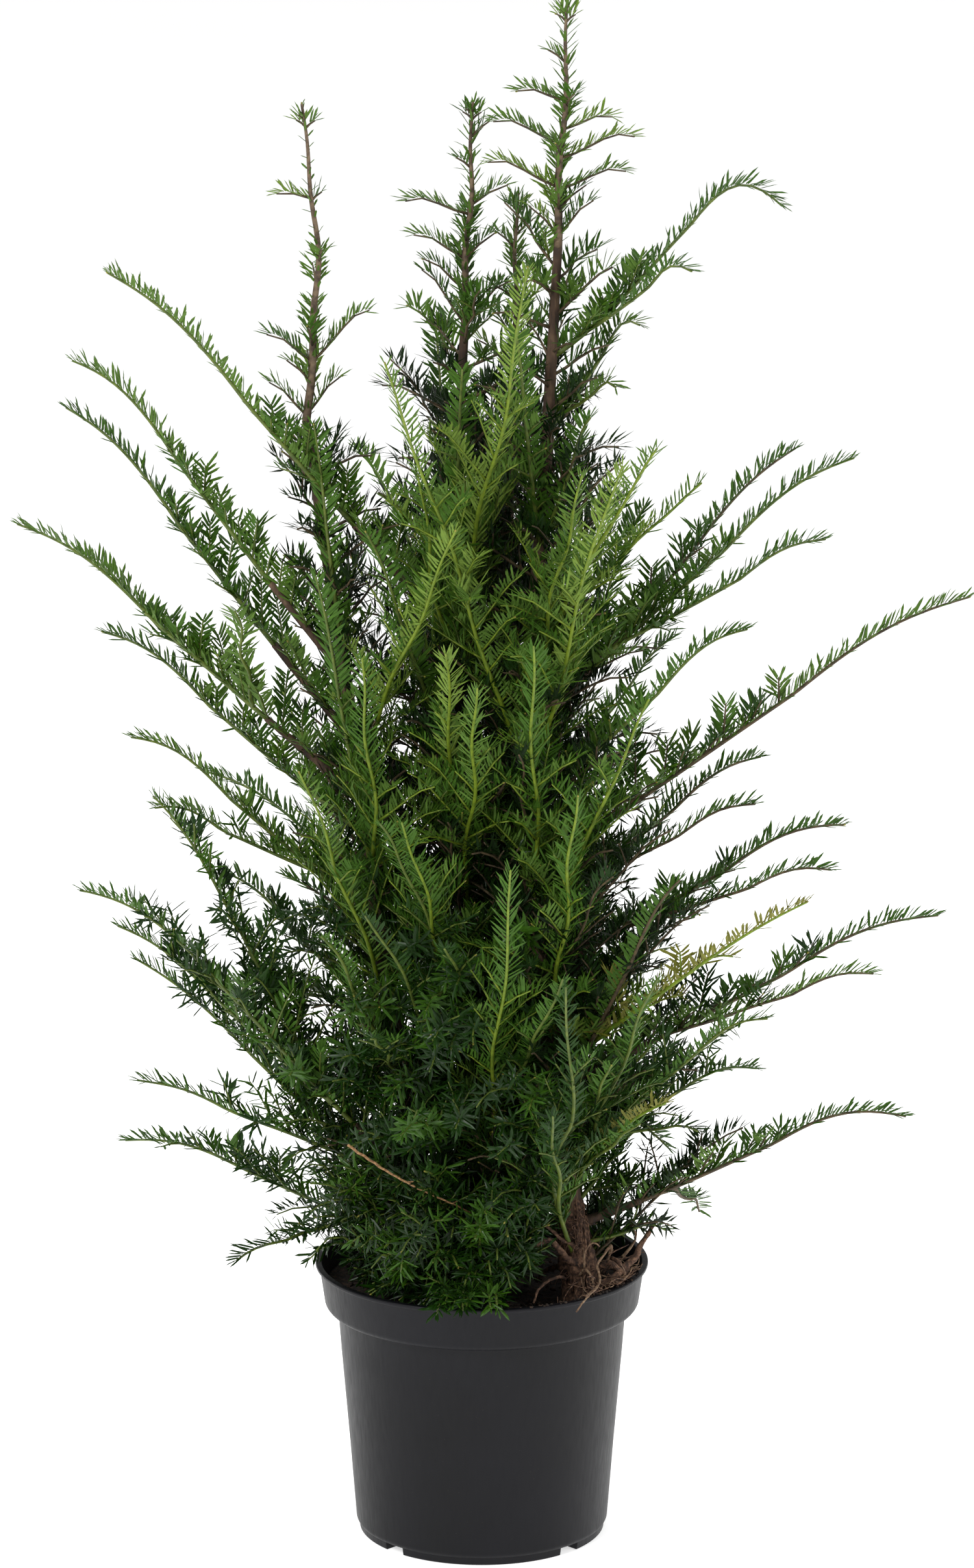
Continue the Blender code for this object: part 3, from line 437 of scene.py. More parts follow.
# more shoots of the same kind inside the reach of those above, where the front and the middle of
# the crown close up
fillShoots = {
    "fill_a": ("left_stem", 0.660, 262, 0.151, 0.887, 0.000, 0, "lit", []),
    "fill_b": ("second_stem", 0.700, 247, 0.130, 0.927, 0.000, 0, "front", []),
    "fill_c": ("second_stem", 0.520, 269, 0.190, 0.768, 0.000, 0, "front", []),
    "fill_d": ("second_stem", 0.560, 261, 0.182, 0.794, 0.004, 0, "lit", []),
    "fill_e": ("main_stem", 0.840, 325, 0.107, 0.963, 0.000, 0, "side", []),
    "fill_f": ("main_stem", 0.540, 283, 0.184, 0.800, 0.000, 0, "front", []),
    "fill_g": ("second_stem", 0.330, 288, 0.210, 0.532, -0.008, 0, "frontLow", []),
    "fill_h": ("main_stem", 0.345, 300, 0.209, 0.455, -0.004, 0, "frontLow", []),
    "fill_i": ("main_stem", 0.325, 311, 0.227, 0.421, 0.004, 0, "tinted", []),
    "fill_j": ("left_stem", 0.520, 238, 0.180, 0.784, 0.004, 0, "front", []),
    "fill_k": ("left_stem", 0.440, 226, 0.210, 0.690, 0.006, 0, "front", []),
    "fill_l": ("second_stem", 0.400, 252, 0.205, 0.660, 0.004, 0, "front", []),
    "fill_m": ("second_stem", 0.350, 243, 0.205, 0.580, 0.006, 0, "frontLow", []),
    "fill_n": ("main_stem", 0.430, 292, 0.205, 0.680, 0.004, 0, "front", []),
    "fill_o": ("main_stem", 0.500, 312, 0.200, 0.750, 0.006, 0, "front", []),
    "fill_p": ("main_stem", 0.380, 318, 0.215, 0.600, 0.006, 0, "dim", []),
    "fill_q": ("second_stem", 0.800, 262, 0.110, 1.010, 0.000, 0, "side", []),
    "fill_r": ("main_stem", 0.840, 285, 0.105, 1.040, 0.000, 0, "side", []),
    "fill_s": ("second_stem", 0.640, 232, 0.150, 0.880, 0.002, 0, "side", []),
    "fill_t": ("main_stem", 0.700, 300, 0.160, 0.930, 0.002, 0, "front", []),
    "fill_u": ("left_stem", 0.740, 201, 0.145, 0.955, 0.000, 0, "side", []),
    "fill_v": ("left_stem", 0.560, 216, 0.165, 0.840, 0.002, 0, "side", []),
    "fill_w": ("main_stem", 0.310, 340, 0.165, 0.430, 0.004, 0, "frontLow", []),
    "fill_x": ("main_stem", 0.330, 322, 0.175, 0.450, 0.004, 0, "frontLow", []),
    "fill_y": ("main_stem", 0.290, 12, 0.180, 0.400, 0.004, 0, "low", []),
    "fill_z": ("main_stem", 0.262, 346, 0.158, 0.272, 0.004, 0, "low", []),
    "rear_a": ("back_stem", 0.700, 96, 0.230, 0.960, 0.004, 0, "front", []),
    "rear_b": ("back_stem", 0.620, 62, 0.235, 0.860, 0.006, 0, "side", []),
    "rear_c": ("back_stem", 0.560, 118, 0.245, 0.800, 0.006, 0, "front", []),
    "rear_d": ("back_stem", 0.480, 88, 0.265, 0.690, 0.006, 0, "side", []),
    "rear_e": ("back_stem", 0.420, 48, 0.255, 0.600, 0.006, 0, "front", []),
    "rear_f": ("back_stem", 0.360, 132, 0.255, 0.520, 0.006, 0, "side", []),
    "rear_g": ("back_stem", 0.320, 72, 0.240, 0.440, 0.006, 0, "frontLow", []),
    "rear_h": ("left_stem", 0.480, 140, 0.225, 0.700, 0.006, 0, "front", []),
    "rear_i": ("main_stem", 0.620, 48, 0.205, 0.850, 0.006, 0, "side", []),
    "rear_j": ("second_stem", 0.800, 105, 0.150, 1.010, 0.002, 0, "side", []),
}


# how each look deals its needle colours and its rind, and how far its twigs reach; the needle colours
# paint light and shade by place: paler tones as painted light on the lit front and top shoots, darker
# tones as painted shade on the low, dim, skirt and core shoots
looks = {
    "lit": {"tones": ["freshLit", "sunlit", "freshLit", "matureHalfShade"], "rind": "lime", "twigs": 1.15},
    "front": {"tones": ["freshLit", "matureHalfShade", "freshLit", "matureHalfShade"], "rind": "lime", "twigs": 1.2},
    "frontLow": {"tones": ["matureHalfShade", "shaded", "matureHalfShade", "shaded"], "rind": "green", "twigs": 1.1},
    "side": {"tones": ["freshLit", "matureHalfShade", "freshLit", "matureHalfShade"], "rind": "green", "twigs": 0.62},
    "dim": {"tones": ["matureHalfShade", "freshLit", "shaded", "matureHalfShade"], "rind": "brown", "twigs": 0.62},
    "tinted": {"tones": ["olive", "olive", "sunlit"], "rind": "lime", "twigs": 0.6},
    "low": {"tones": ["matureHalfShade", "shaded", "shaded", "deep"], "rind": "green", "twigs": 1.05},
    "skirt": {"tones": ["matureHalfShade", "shaded", "shaded", "deep"], "rind": "green", "twigs": 1.2},
    "core": {"tones": ["deep", "deep", "inner", "inner"], "rind": "brown", "twigs": 1.2},
}


def smoothPath(points, step):
    # a curve through the waypoints, whose fourth number is the radius
    ends = [2 * points[0] - points[1], *points, 2 * points[-1] - points[-2]]
    found = []
    for k in range(1, len(ends) - 2):
        before, start, end, after = ends[k - 1 : k + 3]
        count = max(2, round((end - start).length / step))
        for j in range(count):
            t = j / count
            bend = 2 * start + (end - before) * t
            bend += (2 * before - 5 * start + 4 * end - after) * t * t
            bend += (3 * start - before - 3 * end + after) * t * t * t
            found.append(bend / 2)
    return [*found, points[-1]]


stemPaths = {
    name: smoothPath([Vector(point) for point in points], 0.004)
    for name, points in skeleton["stems"].items()
}


def stemAt(name, height):
    path = stemPaths[name]
    for low, high in zip(path, path[1:]):
        if low.z <= height <= high.z:
            point = low.lerp(high, (height - low.z) / (high.z - low.z))
            return Vector(point[:3]), point[3]
    return Vector(path[-1][:3]), path[-1][3]


def archedPath(foot, tip, arch, step=0.008, hook=0.0):
    # hook lifts the last stretch, so that the tip itself levels off
    count = max(4, round((tip - foot).length / step))
    path = []
    for k in range(count + 1):
        t = k / count
        lift = arch * math.sin(math.pi * t * t) + hook * math.sin(math.pi * max(0, (t - 0.6) / 0.4))
        path.append(foot.lerp(tip, t) + Vector((0, 0, lift)))
    return path


def wiggle(path, chance, size):
    # a slight sway, none at either end
    turns, start = chance.uniform(1.2, 2.4), chance.uniform(0, 6)
    side = sideways(path[-1] - path[0])
    last = len(path) - 1
    return [
        p + side * size * math.sin(start + turns * 6.28 * k / last) * math.sin(math.pi * k / last)
        for k, p in enumerate(path)
    ]


def pathLength(path):
    return sum((b - a).length for a, b in zip(path, path[1:]))


def cutPath(path, start):
    left = start * pathLength(path)
    for k in range(len(path) - 1):
        span = (path[k + 1] - path[k]).length
        if left < span:
            return [path[k].lerp(path[k + 1], left / span), *path[k + 1 :]]
        left -= span
    return path[-2:]


def tipOf(bearing, reach, height):
    turn = math.radians(bearing)
    return Vector((reach * math.cos(turn), reach * math.sin(turn), height))


def sideways(ahead):
    across = ahead.normalized().cross(Vector((0, 0, 1)))
    return across.normalized() if across.length > 0.25 else Vector((1, 0, 0))


def heading(path, share):
    here = cutPath(path, share)
    return here[0], (here[1] - here[0]).normalized()


# a spray is one shoot with its own needles: its path, radii, the way its needles stand and colours
sprays = []


def addSpray(path, thick, thin, stance, needle, pitch, tone, rind, mass, bareFoot=0.003, wide=0.0024):
    sprays.append(
        {
            "path": path,
            "thick": thick,
            "thin": thin,
            "stance": stance,
            "needle": needle,
            "pitch": pitch,
            "tone": tone,
            "rind": rind,
            "mass": mass,
            "bareFoot": bareFoot,
            "wide": wide,
        }
    )


# twigs on a long shoot: how often, from which share to which, their size, angle and how they rise
twigRule = {
    "every": 0.0125,
    "first": 0.05,
    "last": 0.68,
    "longest": 0.105,
    "share": 0.30,
    "angle": 50,
    "roll": (22, 30),
    "shortest": 0.016,
    "secondEvery": 0.014,
    "secondShare": 0.42,
    "needle": 0.0158,
    "pitch": 0.0030,
}


twigStances = {
    "front": ["flat", "flat", "brush"],
    "frontLow": ["flat", "brush", "rosette"],
    "low": ["flat", "brush", "rosette", "rosette"],
    "skirt": ["rosette"],
    "core": ["flat", "brush", "brush", "rosette"],
}


def inReach(point):
    low, high = reachBox
    return all(low[k] < point[k] < high[k] for k in range(3))


def clearOfPot(point):
    out = math.hypot(point.x, point.y)
    if out < 0.130 and point.z < skeleton["soil"] + 0.004:
        return False
    return not (0.126 < out < 0.1445 and point.z < 0.2385)


def growTwigs(path, look, mass, chance, bushy, last, level=1):
    # both sides of a shoot, longest near its foot, dealt a colour each
    length = pathLength(path)
    rule = twigRule
    every = rule["every"] if level == 1 else rule["secondEvery"]
    count = int(length * (last - rule["first"]) / every)
    for k in range(count):
        share = rule["first"] + (last - rule["first"]) * (k + chance.uniform(0.1, 0.9)) / count
        root, ahead = heading(path, share)
        side = sideways(path[-1] - path[0])
        over = side.cross(ahead).normalized()
        across = ahead.cross(over)
        roll = math.radians(chance.gauss(rule["roll"][0], rule["roll"][1]))
        angle = math.radians(rule["angle"] * chance.uniform(0.75, 1.2))
        out = across * (1 if k % 2 else -1) * math.cos(roll) + over * math.sin(roll)
        way = ahead * math.cos(angle) + out * math.sin(angle)
        room = rule["longest"] if level == 1 else length * rule["secondShare"]
        reach = min(room, length * rule["share"]) if level == 1 else room
        reach *= (1 - share / (last + 0.12)) ** 0.75 * chance.uniform(0.45, 1.1) * bushy
        if reach < rule["shortest"]:
            continue
        tip = root + way * reach + Vector((0, 0, 0.10 * reach))
        if not (inReach(tip) and clearOfPot(tip) and clearOfPot(root.lerp(tip, 0.6))):
            continue
        twig = archedPath(root, tip, 0.06 * reach, 0.010)
        tone = chance.choice(looks[look]["tones"])
        stance = chance.choice(twigStances.get(look, ["flat"]))
        rind = looks[look]["rind"] if level == 1 else "green"
        needle = rule["needle"] * chance.uniform(0.85, 1.1)
        wide = 0.0020 if look in ("lit", "front", "frontLow") else 0.0025
        addSpray(twig, 0.0011, 0.0006, stance, needle, rule["pitch"], tone, rind, mass, 0.003, wide)
        if level == 1 and reach > 0.045 and look not in ("side", "dim"):
            growTwigs(twig, look, mass, chance, 1.0, 0.8, 2)


# long shoots carry two ranks of full-size needles to the tip
longRule = {
    "thick": 0.0022,
    "thin": 0.0009,
    "needle": {"lit": 0.0168, "front": 0.0168, "frontLow": 0.0138, "side": 0.0168, "dim": 0.0165},
    "otherNeedle": 0.0165,
    "pitch": {"lit": 0.0040, "front": 0.0043, "frontLow": 0.0037, "tinted": 0.0037, "side": 0.0030},
    "otherPitch": 0.0032,
    "hook": {"side": 0.008, "dim": 0.007, "low": 0.004},
    "bareFeet": {"front_5": 0.10, "front_6": 0.05},
    "aside": {"front_5": 0.017},
}


def growLongShoots():
    boughs = {}
    for name, row in [*longShoots.items(), *fillShoots.items()]:
        stem, leaves, bearing, reach, height, arch, bare, lookName, forks = row
        chance = random.Random(name)
        look = looks[lookName]
        mass = name + "_needles" if name in longShoots else ""
        hook = longRule["hook"].get(lookName, 0)
        foot, _ = stemAt(stem, leaves)
        whole = archedPath(foot, tipOf(bearing, reach, height), arch, hook=hook)
        main = cutPath(whole, bare) if bare else whole
        if bare:
            boughs[name] = (stem, cutPath(whole[::-1], 1 - bare)[::-1])
        if lookName in ("lit", "front", "frontLow"):
            main = whole = wiggle(whole, chance, 0.0035)
            aside = longRule["aside"].get(name, 0)
            last = len(main) - 1
            bow = [aside * math.sin(math.pi * min(1, 1.8 * k / last)) for k in range(last + 1)]
            main = whole = [p - Vector((shift, 0, 0)) for p, shift in zip(main, bow)]
        parts = [(main, 1.0, whole)]
        for share, turn, far, high in forks:
            root = cutPath(whole, max(share, bare + 0.03))[0]
            end = tipOf(turn, far, high)
            rise = arch * ((end - root).length / (whole[-1] - foot).length) ** 2
            fork = wiggle(archedPath(root, end, rise, hook=hook * 0.8), chance, 0.003)
            parts.append((fork, 0.85, fork))
        clear = longRule["bareFeet"].get(name, 0)
        for path, size, leafy in parts:
            leafy = cutPath(leafy, clear)
            addSpray(
                path,
                longRule["thick"] * size,
                longRule["thin"],
                "flat",
                longRule["needle"].get(lookName, longRule["otherNeedle"]) * chance.uniform(0.95, 1.04),
                longRule["pitch"].get(lookName, longRule["otherPitch"]),
                look["tones"][chance.randrange(2)],
                look["rind"],
                mass,
                0.012 if bare else 0.02 + clear * pathLength(path),
                0.0019 if lookName in ("lit", "front", "frontLow") else 0.0026,
            )
            last = 0.86 if lookName in ("low", "skirt") else twigRule["last"]
            growTwigs(leafy, lookName, mass, chance, look["twigs"], last)
    return boughs


# leaders: the stem's own tip with sparse needles all round, and short side sprays that arch out;
# each spray has its height, bearing, length and climb
leaderRule = {
    "thin": 0.0011,
    "needle": 0.0160,
    "round": 0.0022,
    "sideNeedle": 0.0150,
    "pitch": 0.0031,
    "sway": {"left_leader": 0.010},
    "sparse": {"left_leader": (0.0095, 0.0044)},
    "tuft": [
        (0.925, 20, 0.010, 35), (0.930, 150, 0.010, 30), (0.940, 265, 0.009, 40), (0.950, 200, 0.007, 40),
    ],
}
leaderSprays = {
    "main_leader": [
        (1.240, 180, 0.018, 35), (1.209, 184, 0.040, 12), (1.205, 290, 0.024, 30), (1.186, 2, 0.041, 14),
        (1.190, 80, 0.030, 30), (1.174, 178, 0.058, 18), (1.165, 262, 0.032, 25), (1.162, 4, 0.063, 16),
        (1.150, 95, 0.040, 30), (1.139, 184, 0.061, 20), (1.137, 354, 0.057, 16), (1.121, 12, 0.030, 40),
        (1.120, 270, 0.030, 35), (1.115, 110, 0.045, 35), (1.100, 2, 0.040, 45), (1.100, 182, 0.034, 45),
    ],
    "second_leader": [
        (1.175, 4, 0.020, 40), (1.150, 200, 0.016, 35), (1.120, 6, 0.034, 28), (1.112, 182, 0.054, 12),
        (1.100, 90, 0.036, 30), (1.090, 268, 0.034, 25), (1.076, 176, 0.046, 24), (1.075, 354, 0.033, 42),
        (1.060, 100, 0.044, 35), (1.049, 186, 0.044, 38), (1.035, 265, 0.040, 40), (1.030, 20, 0.036, 40),
        (1.022, 180, 0.057, 52), (1.021, 5, 0.050, 44),
    ],
    "left_leader": [
        (1.132, 185, 0.028, 8), (1.130, 2, 0.011, 40), (1.080, 280, 0.022, 35), (1.060, 100, 0.028, 35),
        (1.020, 90, 0.038, 40), (1.010, 262, 0.034, 40), (0.999, 178, 0.043, 30), (0.999, 2, 0.062, 42),
        (0.982, 186, 0.027, 42), (0.975, 95, 0.044, 40), (0.955, 5, 0.042, 48), (0.954, 180, 0.041, 42),
    ],
    "back_leader": [
        (1.090, 20, 0.020, 40), (1.080, 160, 0.022, 38), (1.060, 90, 0.030, 34), (1.052, 330, 0.028, 35),
        (1.035, 200, 0.030, 35), (1.020, 50, 0.036, 35), (1.005, 130, 0.038, 35), (0.995, 0, 0.036, 40),
        (0.980, 180, 0.036, 40), (0.965, 85, 0.042, 38), (0.950, 35, 0.040, 40), (0.940, 145, 0.042, 40),
    ],
}


def growLeaders():
    for name, (stem, tip) in skeleton["leaders"].items():
        chance = random.Random(name)
        end = stemPaths[stem][-1]
        foot, top = Vector(end[:3]), Vector(tip)
        axis = wiggle(archedPath(foot, top, 0, 0.006), chance, 0.0022)
        sway = leaderRule["sway"].get(name, 0)
        last = len(axis) - 1
        axis = [p + Vector((sway * math.sin(math.pi * k / last), 0, 0)) for k, p in enumerate(axis)]
        mass = name + "_needles"
        rule = leaderRule
        long, pitch = rule["sparse"].get(name, (rule["needle"], rule["round"]))
        # the leaders' own needles take a paler tone: painted light on the top of the crown
        addSpray(axis, end[3], rule["thin"], "round", long, pitch, "freshLit", "grey", mass)
        tuft = [(foot.z + (top.z - foot.z) * row[0], *row[1:]) for row in rule["tuft"]]
        for height, bearing, far, climb in leaderSprays[name] + tuft:
            share = min(0.985, max(0.01, (height - foot.z) / (top.z - foot.z)))
            root, _ = heading(axis, share)
            turn, rise = math.radians(bearing), math.radians(climb)
            way = Vector((math.cos(turn) * math.cos(rise), math.sin(turn) * math.cos(rise), math.sin(rise)))
            path = archedPath(root, root + way * far, 0.10 * far, 0.005)
            # painted light: the leaders' side sprays take the paler tones
            tone = chance.choice(["sunlit", "freshLit", "freshLit", "matureHalfShade"])
            addSpray(path, 0.0012, 0.0006, "flat", rule["sideNeedle"], rule["pitch"], tone, "brown", mass)


# short shoots borne straight on the stems fill the crown's dark middle; below darkBelow their needles
# take the darkest tones as painted shade, and above it the side shoots' tones
coreRule = {
    "every": 0.0098,
    "needle": 0.0190,
    "darkBelow": 0.98,
    "lowest": 0.240,
    "below": {"main_stem": 1.090, "second_stem": 1.020, "left_stem": 0.945, "back_stem": 0.925},
    "reach": [(0.22, 0.135), (0.45, 0.135), (0.70, 0.108), (0.95, 0.064), (1.10, 0.042)],
    "share": {"main_stem": 1.0, "second_stem": 1.0, "left_stem": 0.62, "back_stem": 1.0},
    "stumpClear": (0.330, 225, 350),
    "pitch": 0.0033,
}


def reachAt(height):
    stops = coreRule["reach"]
    for (low, near), (high, far) in zip(stops, stops[1:]):
        if height <= high:
            return near + (far - near) * (height - low) / (high - low)
    return stops[-1][1]


def growCore():
    for name, top in coreRule["below"].items():
        chance = random.Random("core " + name)
        count = int((top - coreRule["lowest"]) / coreRule["every"])
        for k in range(count):
            height = coreRule["lowest"] + coreRule["every"] * k
            root, _ = stemAt(name, height)
            turn = math.radians(137.5 * k + chance.uniform(-20, 20))
            far = reachAt(height) * chance.uniform(0.6, 1.15) * coreRule["share"][name]
            top, fromTurn, toTurn = coreRule["stumpClear"]
            if name == "main_stem" and height < top and fromTurn < math.degrees(turn) % 360 < toTurn:
                continue
            rise = far * chance.uniform(0.30, 1.10)
            tip = root + Vector((far * math.cos(turn), far * math.sin(turn), rise))
            if not (inReach(tip) and clearOfPot(tip) and clearOfPot(root.lerp(tip, 0.7))):
                continue
            path = wiggle(archedPath(root, tip, 0.08 * far), chance, 0.003)
            look = "core" if height < coreRule["darkBelow"] else "side"
            tone = chance.choice(looks[look]["tones"])
            needle = coreRule["needle"] * chance.uniform(0.9, 1.1)
            addSpray(path, 0.0015, 0.0008, "brush", needle, coreRule["pitch"], tone, "brown", "", 0.012)
            growTwigs(path, look, "", chance, 1.5, 0.86)


# low shoots that spill over the front of the rim, thickest at the front left; their needles take
# the darker tones as painted shade under the crown
skirtRule = {
    "count": 84,
    "from": 172,
    "to": 292,
    "start": 0.092,
    "reach": (0.106, 0.150),
    "needle": 0.0155,
    "pitch": 0.0031,
    "rearPitch": 0.0033,
    "wide": 0.0028,
    "overRim": 9,
    "inside": 34,
    "rear": 30,
}
frontRule = {
    "count": 46,
    "from": 188,
    "to": 292,
    "height": (0.27, 0.50),
    "reach": (0.115, 0.185),
    "needle": 0.0160,
    "pitch": 0.0031,
    "wide": 0.0028,
    "bare": 0.45,
}


def growFront():
    # bushy short shoots between the skirt and the long shoots above it; their needles take the darker
    # tones as painted shade
    chance = random.Random("front")
    rule = frontRule
    for k in range(rule["count"]):
        span = rule["to"] - rule["from"]
        bearing = rule["from"] + span * ((k * 0.618) % 1) + chance.uniform(-4, 4)
        height = chance.uniform(*rule["height"])
        stem = "left_stem" if bearing < 225 else ("second_stem" if bearing < 268 else "main_stem")
        root, _ = stemAt(stem, height)
        tip = tipOf(bearing, chance.uniform(*rule["reach"]), height + chance.uniform(0.01, 0.07))
        path = wiggle(archedPath(root, tip, 0.012), chance, 0.004)
        start = rule["bare"] * pathLength(path)
        tone = chance.choice(["matureHalfShade", "shaded", "shaded", "deep"])
        needle, pitch, wide = rule["needle"], rule["pitch"], rule["wide"]
        addSpray(path, 0.0013, 0.0007, "rosette", needle, pitch, tone, "green", "", start, wide)
        growTwigs(cutPath(path, 0.4), "skirt", "", chance, 1.3, 0.9)


def growSkirt():
    chance = random.Random("skirt")
    rule = skirtRule
    needle, pitch, wide = rule["needle"], rule["pitch"], rule["wide"]
    mass = "front_7_needles"
    for k in range(rule["count"]):
        span = rule["to"] - rule["from"]
        bearing = rule["from"] + span * (k + chance.uniform(0.1, 0.9)) / rule["count"]
        reach = chance.uniform(*rule["reach"])
        start = rule["start"] * chance.uniform(0.5, 1)
        foot = tipOf(bearing + chance.uniform(-14, 14), start, 0.232)
        tip = tipOf(bearing, reach, chance.uniform(0.240, 0.345))
        path = archedPath(foot, tip, 0.018)
        tone = chance.choice(["matureHalfShade", "shaded", "deep", "deep", "inner"])
        addSpray(path, 0.0014, 0.0007, "rosette", needle, pitch, tone, "green", mass, 0.02, wide)
        if k < rule["inside"]:
            # low ones that hide the compost at the front left
            bearing = chance.uniform(162, 282)
            foot = tipOf(bearing, chance.uniform(0.070, 0.095), 0.224)
            tip = tipOf(bearing, chance.uniform(0.106, 0.121), chance.uniform(0.226, 0.244))
            path = archedPath(foot, tip, 0.006)
            tone = chance.choice(["shaded", "deep", "deep"])
            addSpray(path, 0.0012, 0.0007, "rosette", needle, pitch, tone, "green", mass, 0.003, wide)
        if k < rule["rear"]:
            # sparser ones round the right and the back
            bearing = chance.uniform(8, 172)
            foot = tipOf(bearing, chance.uniform(0.080, 0.100), 0.228)
            tip = tipOf(bearing, chance.uniform(0.112, 0.150), chance.uniform(0.242, 0.310))
            path = archedPath(foot, tip, 0.014)
            tone = chance.choice(["matureHalfShade", "shaded", "deep"])
            sparser = rule["rearPitch"]
            addSpray(path, 0.0012, 0.0007, "rosette", needle, sparser, tone, "green", "", 0.012, wide)
            growTwigs(path, "skirt", "", chance, 1.1, 0.9)
        if k < rule["overRim"]:
            # a few reach out over the rim and hang just below its top
            bearing = chance.uniform(256, 288)
            ledge = tipOf(bearing, 0.140, 0.2475)
            tip = tipOf(bearing, chance.uniform(0.150, 0.159), chance.uniform(0.235, 0.247))
            path = smoothPath([tipOf(bearing, 0.095, 0.240), ledge, tip], 0.006)
            addSpray(path, 0.0012, 0.0007, "brush", needle, pitch, tone, "green", mass, 0.03, 0.0026)
        growTwigs(path, "skirt", mass, chance, 1.3, 0.9)


# the way needles stand: angle from the shoot at its middle and tip, and their rise to the sides
stances = {
    "flat": {"lean": 56, "tipLean": 34, "raise": 34, "spread": 17, "ranks": 2},
    "brush": {"lean": 58, "tipLean": 30, "raise": 48, "spread": 28, "ranks": 2},
    "round": {"lean": 46, "tipLean": 30, "raise": 0, "spread": 0, "ranks": 1},
    "rosette": {"lean": 66, "tipLean": 22, "raise": 0, "spread": 0, "ranks": 1.7},
}
needleShape = {"ridge": 0.00045, "shoulder": 0.14, "neck": 0.74, "bend": 0.10, "droop": 0.06, "loose": 9}


def unit(rows):
    return rows / np.maximum(np.linalg.norm(rows, axis=1, keepdims=True), 1e-9)


def sprayFrames(path, step):
    # even samples along a path, each with its direction and the two directions across it
    points = np.array([list(p) for p in path])
    spans = np.linalg.norm(np.diff(points, axis=0), axis=1)
    along = np.concatenate([[0], np.cumsum(spans)])
    total = along[-1]
    count = max(2, int(round(total / step)) + 1)
    at = np.linspace(0, total, count)
    placed = np.stack([np.interp(at, along, points[:, k]) for k in range(3)], axis=1)
    ahead = unit(np.gradient(placed, axis=0))
    side = np.array(sideways(path[-1] - path[0]))
    over = unit(np.cross(side[None, :], ahead))
    across = np.cross(ahead, over)
    return at / total, placed, ahead, across, over, total


def needleRows(spray, rng):
    # roots, directions, blade normals and lengths of one spray's needles
    stance = stances[spray["stance"]]
    allRound = spray["stance"] in ("round", "rosette")
    each = spray["pitch"] / stance["ranks"]
    share, root, ahead, across, over, total = sprayFrames(spray["path"], each)
    keep = share * total > spray["bareFoot"]
    share, root, ahead, across, over = (part[keep] for part in (share, root, ahead, across, over))
    count = len(share)
    if not count:
        return None
    jitter = rng.normal(size=(count, 5))
    forward = np.clip((share - 0.87) / 0.13, 0, 1) ** 1.5
    lean = stance["lean"] * (1 - forward) + stance["tipLean"] * forward
    lean = np.radians(lean + jitter[:, 0] * needleShape["loose"])
    if allRound:
        phi = np.radians(137.5) * np.arange(count) + jitter[:, 1] * 0.2
    else:
        raised = np.radians(stance["raise"] + jitter[:, 1] * stance["spread"])
        phi = np.where(np.arange(count) % 2 == 0, raised, np.pi - raised)
    out = across * np.cos(phi)[:, None] + over * np.sin(phi)[:, None]
    way = unit(ahead * np.cos(lean)[:, None] + out * np.sin(lean)[:, None])
    up = ahead if allRound else over
    up = unit(up + ahead * 0.15 + across * (jitter[:, 2] * 0.28)[:, None])
    normal = unit(up - way * np.sum(up * way, axis=1, keepdims=True))
    wide = np.cross(way, normal)
    turned = np.sign(np.sum(wide * ahead, axis=1))
    ends = np.minimum(1, 0.55 + share * 9) * np.minimum(1, 0.58 + (1 - share) * 8)
    length = spray["needle"] * ends * (1 + jitter[:, 3] * 0.10)
    radius = spray["thick"] + (spray["thin"] - spray["thick"]) * share
    root = root + out * (radius * 0.6)[:, None]
    bend = turned * needleShape["bend"] * (1 + jitter[:, 4] * 0.5)
    width = spray["wide"] * np.clip(length / spray["needle"], 0.7, 1.05)
    return root, way, normal, wide, length, bend, width


def fits(rows):
    # needles that would leave the plant's reach, or enter a stem, the soil or the rim are left out
    root, way, length = rows[0], rows[1], rows[4]
    keep = np.ones(len(root), bool)
    low, high = (np.array(corner) for corner in reachBox)
    for part in (0.55, 1.0):
        point = root + way * (length * part)[:, None]
        keep &= ((point > low) & (point < high)).all(axis=1)
        out = np.hypot(point[:, 0], point[:, 1])
        keep &= ~((out < 0.130) & (point[:, 2] < skeleton["soil"] + 0.001))
        keep &= ~((out > 0.126) & (out < 0.1425) & (point[:, 2] < 0.2365))
        for path in stemPaths.values():
            axis = np.array([list(p) for p in path[::3]])
            height = axis[:, 2]
            at = [np.interp(point[:, 2], height, axis[:, k]) for k in (0, 1, 3)]
            near = np.hypot(point[:, 0] - at[0], point[:, 1] - at[1]) < at[2] + 0.0008
            keep &= ~(near & (point[:, 2] < height[-1]))
    return [part[keep] for part in rows]


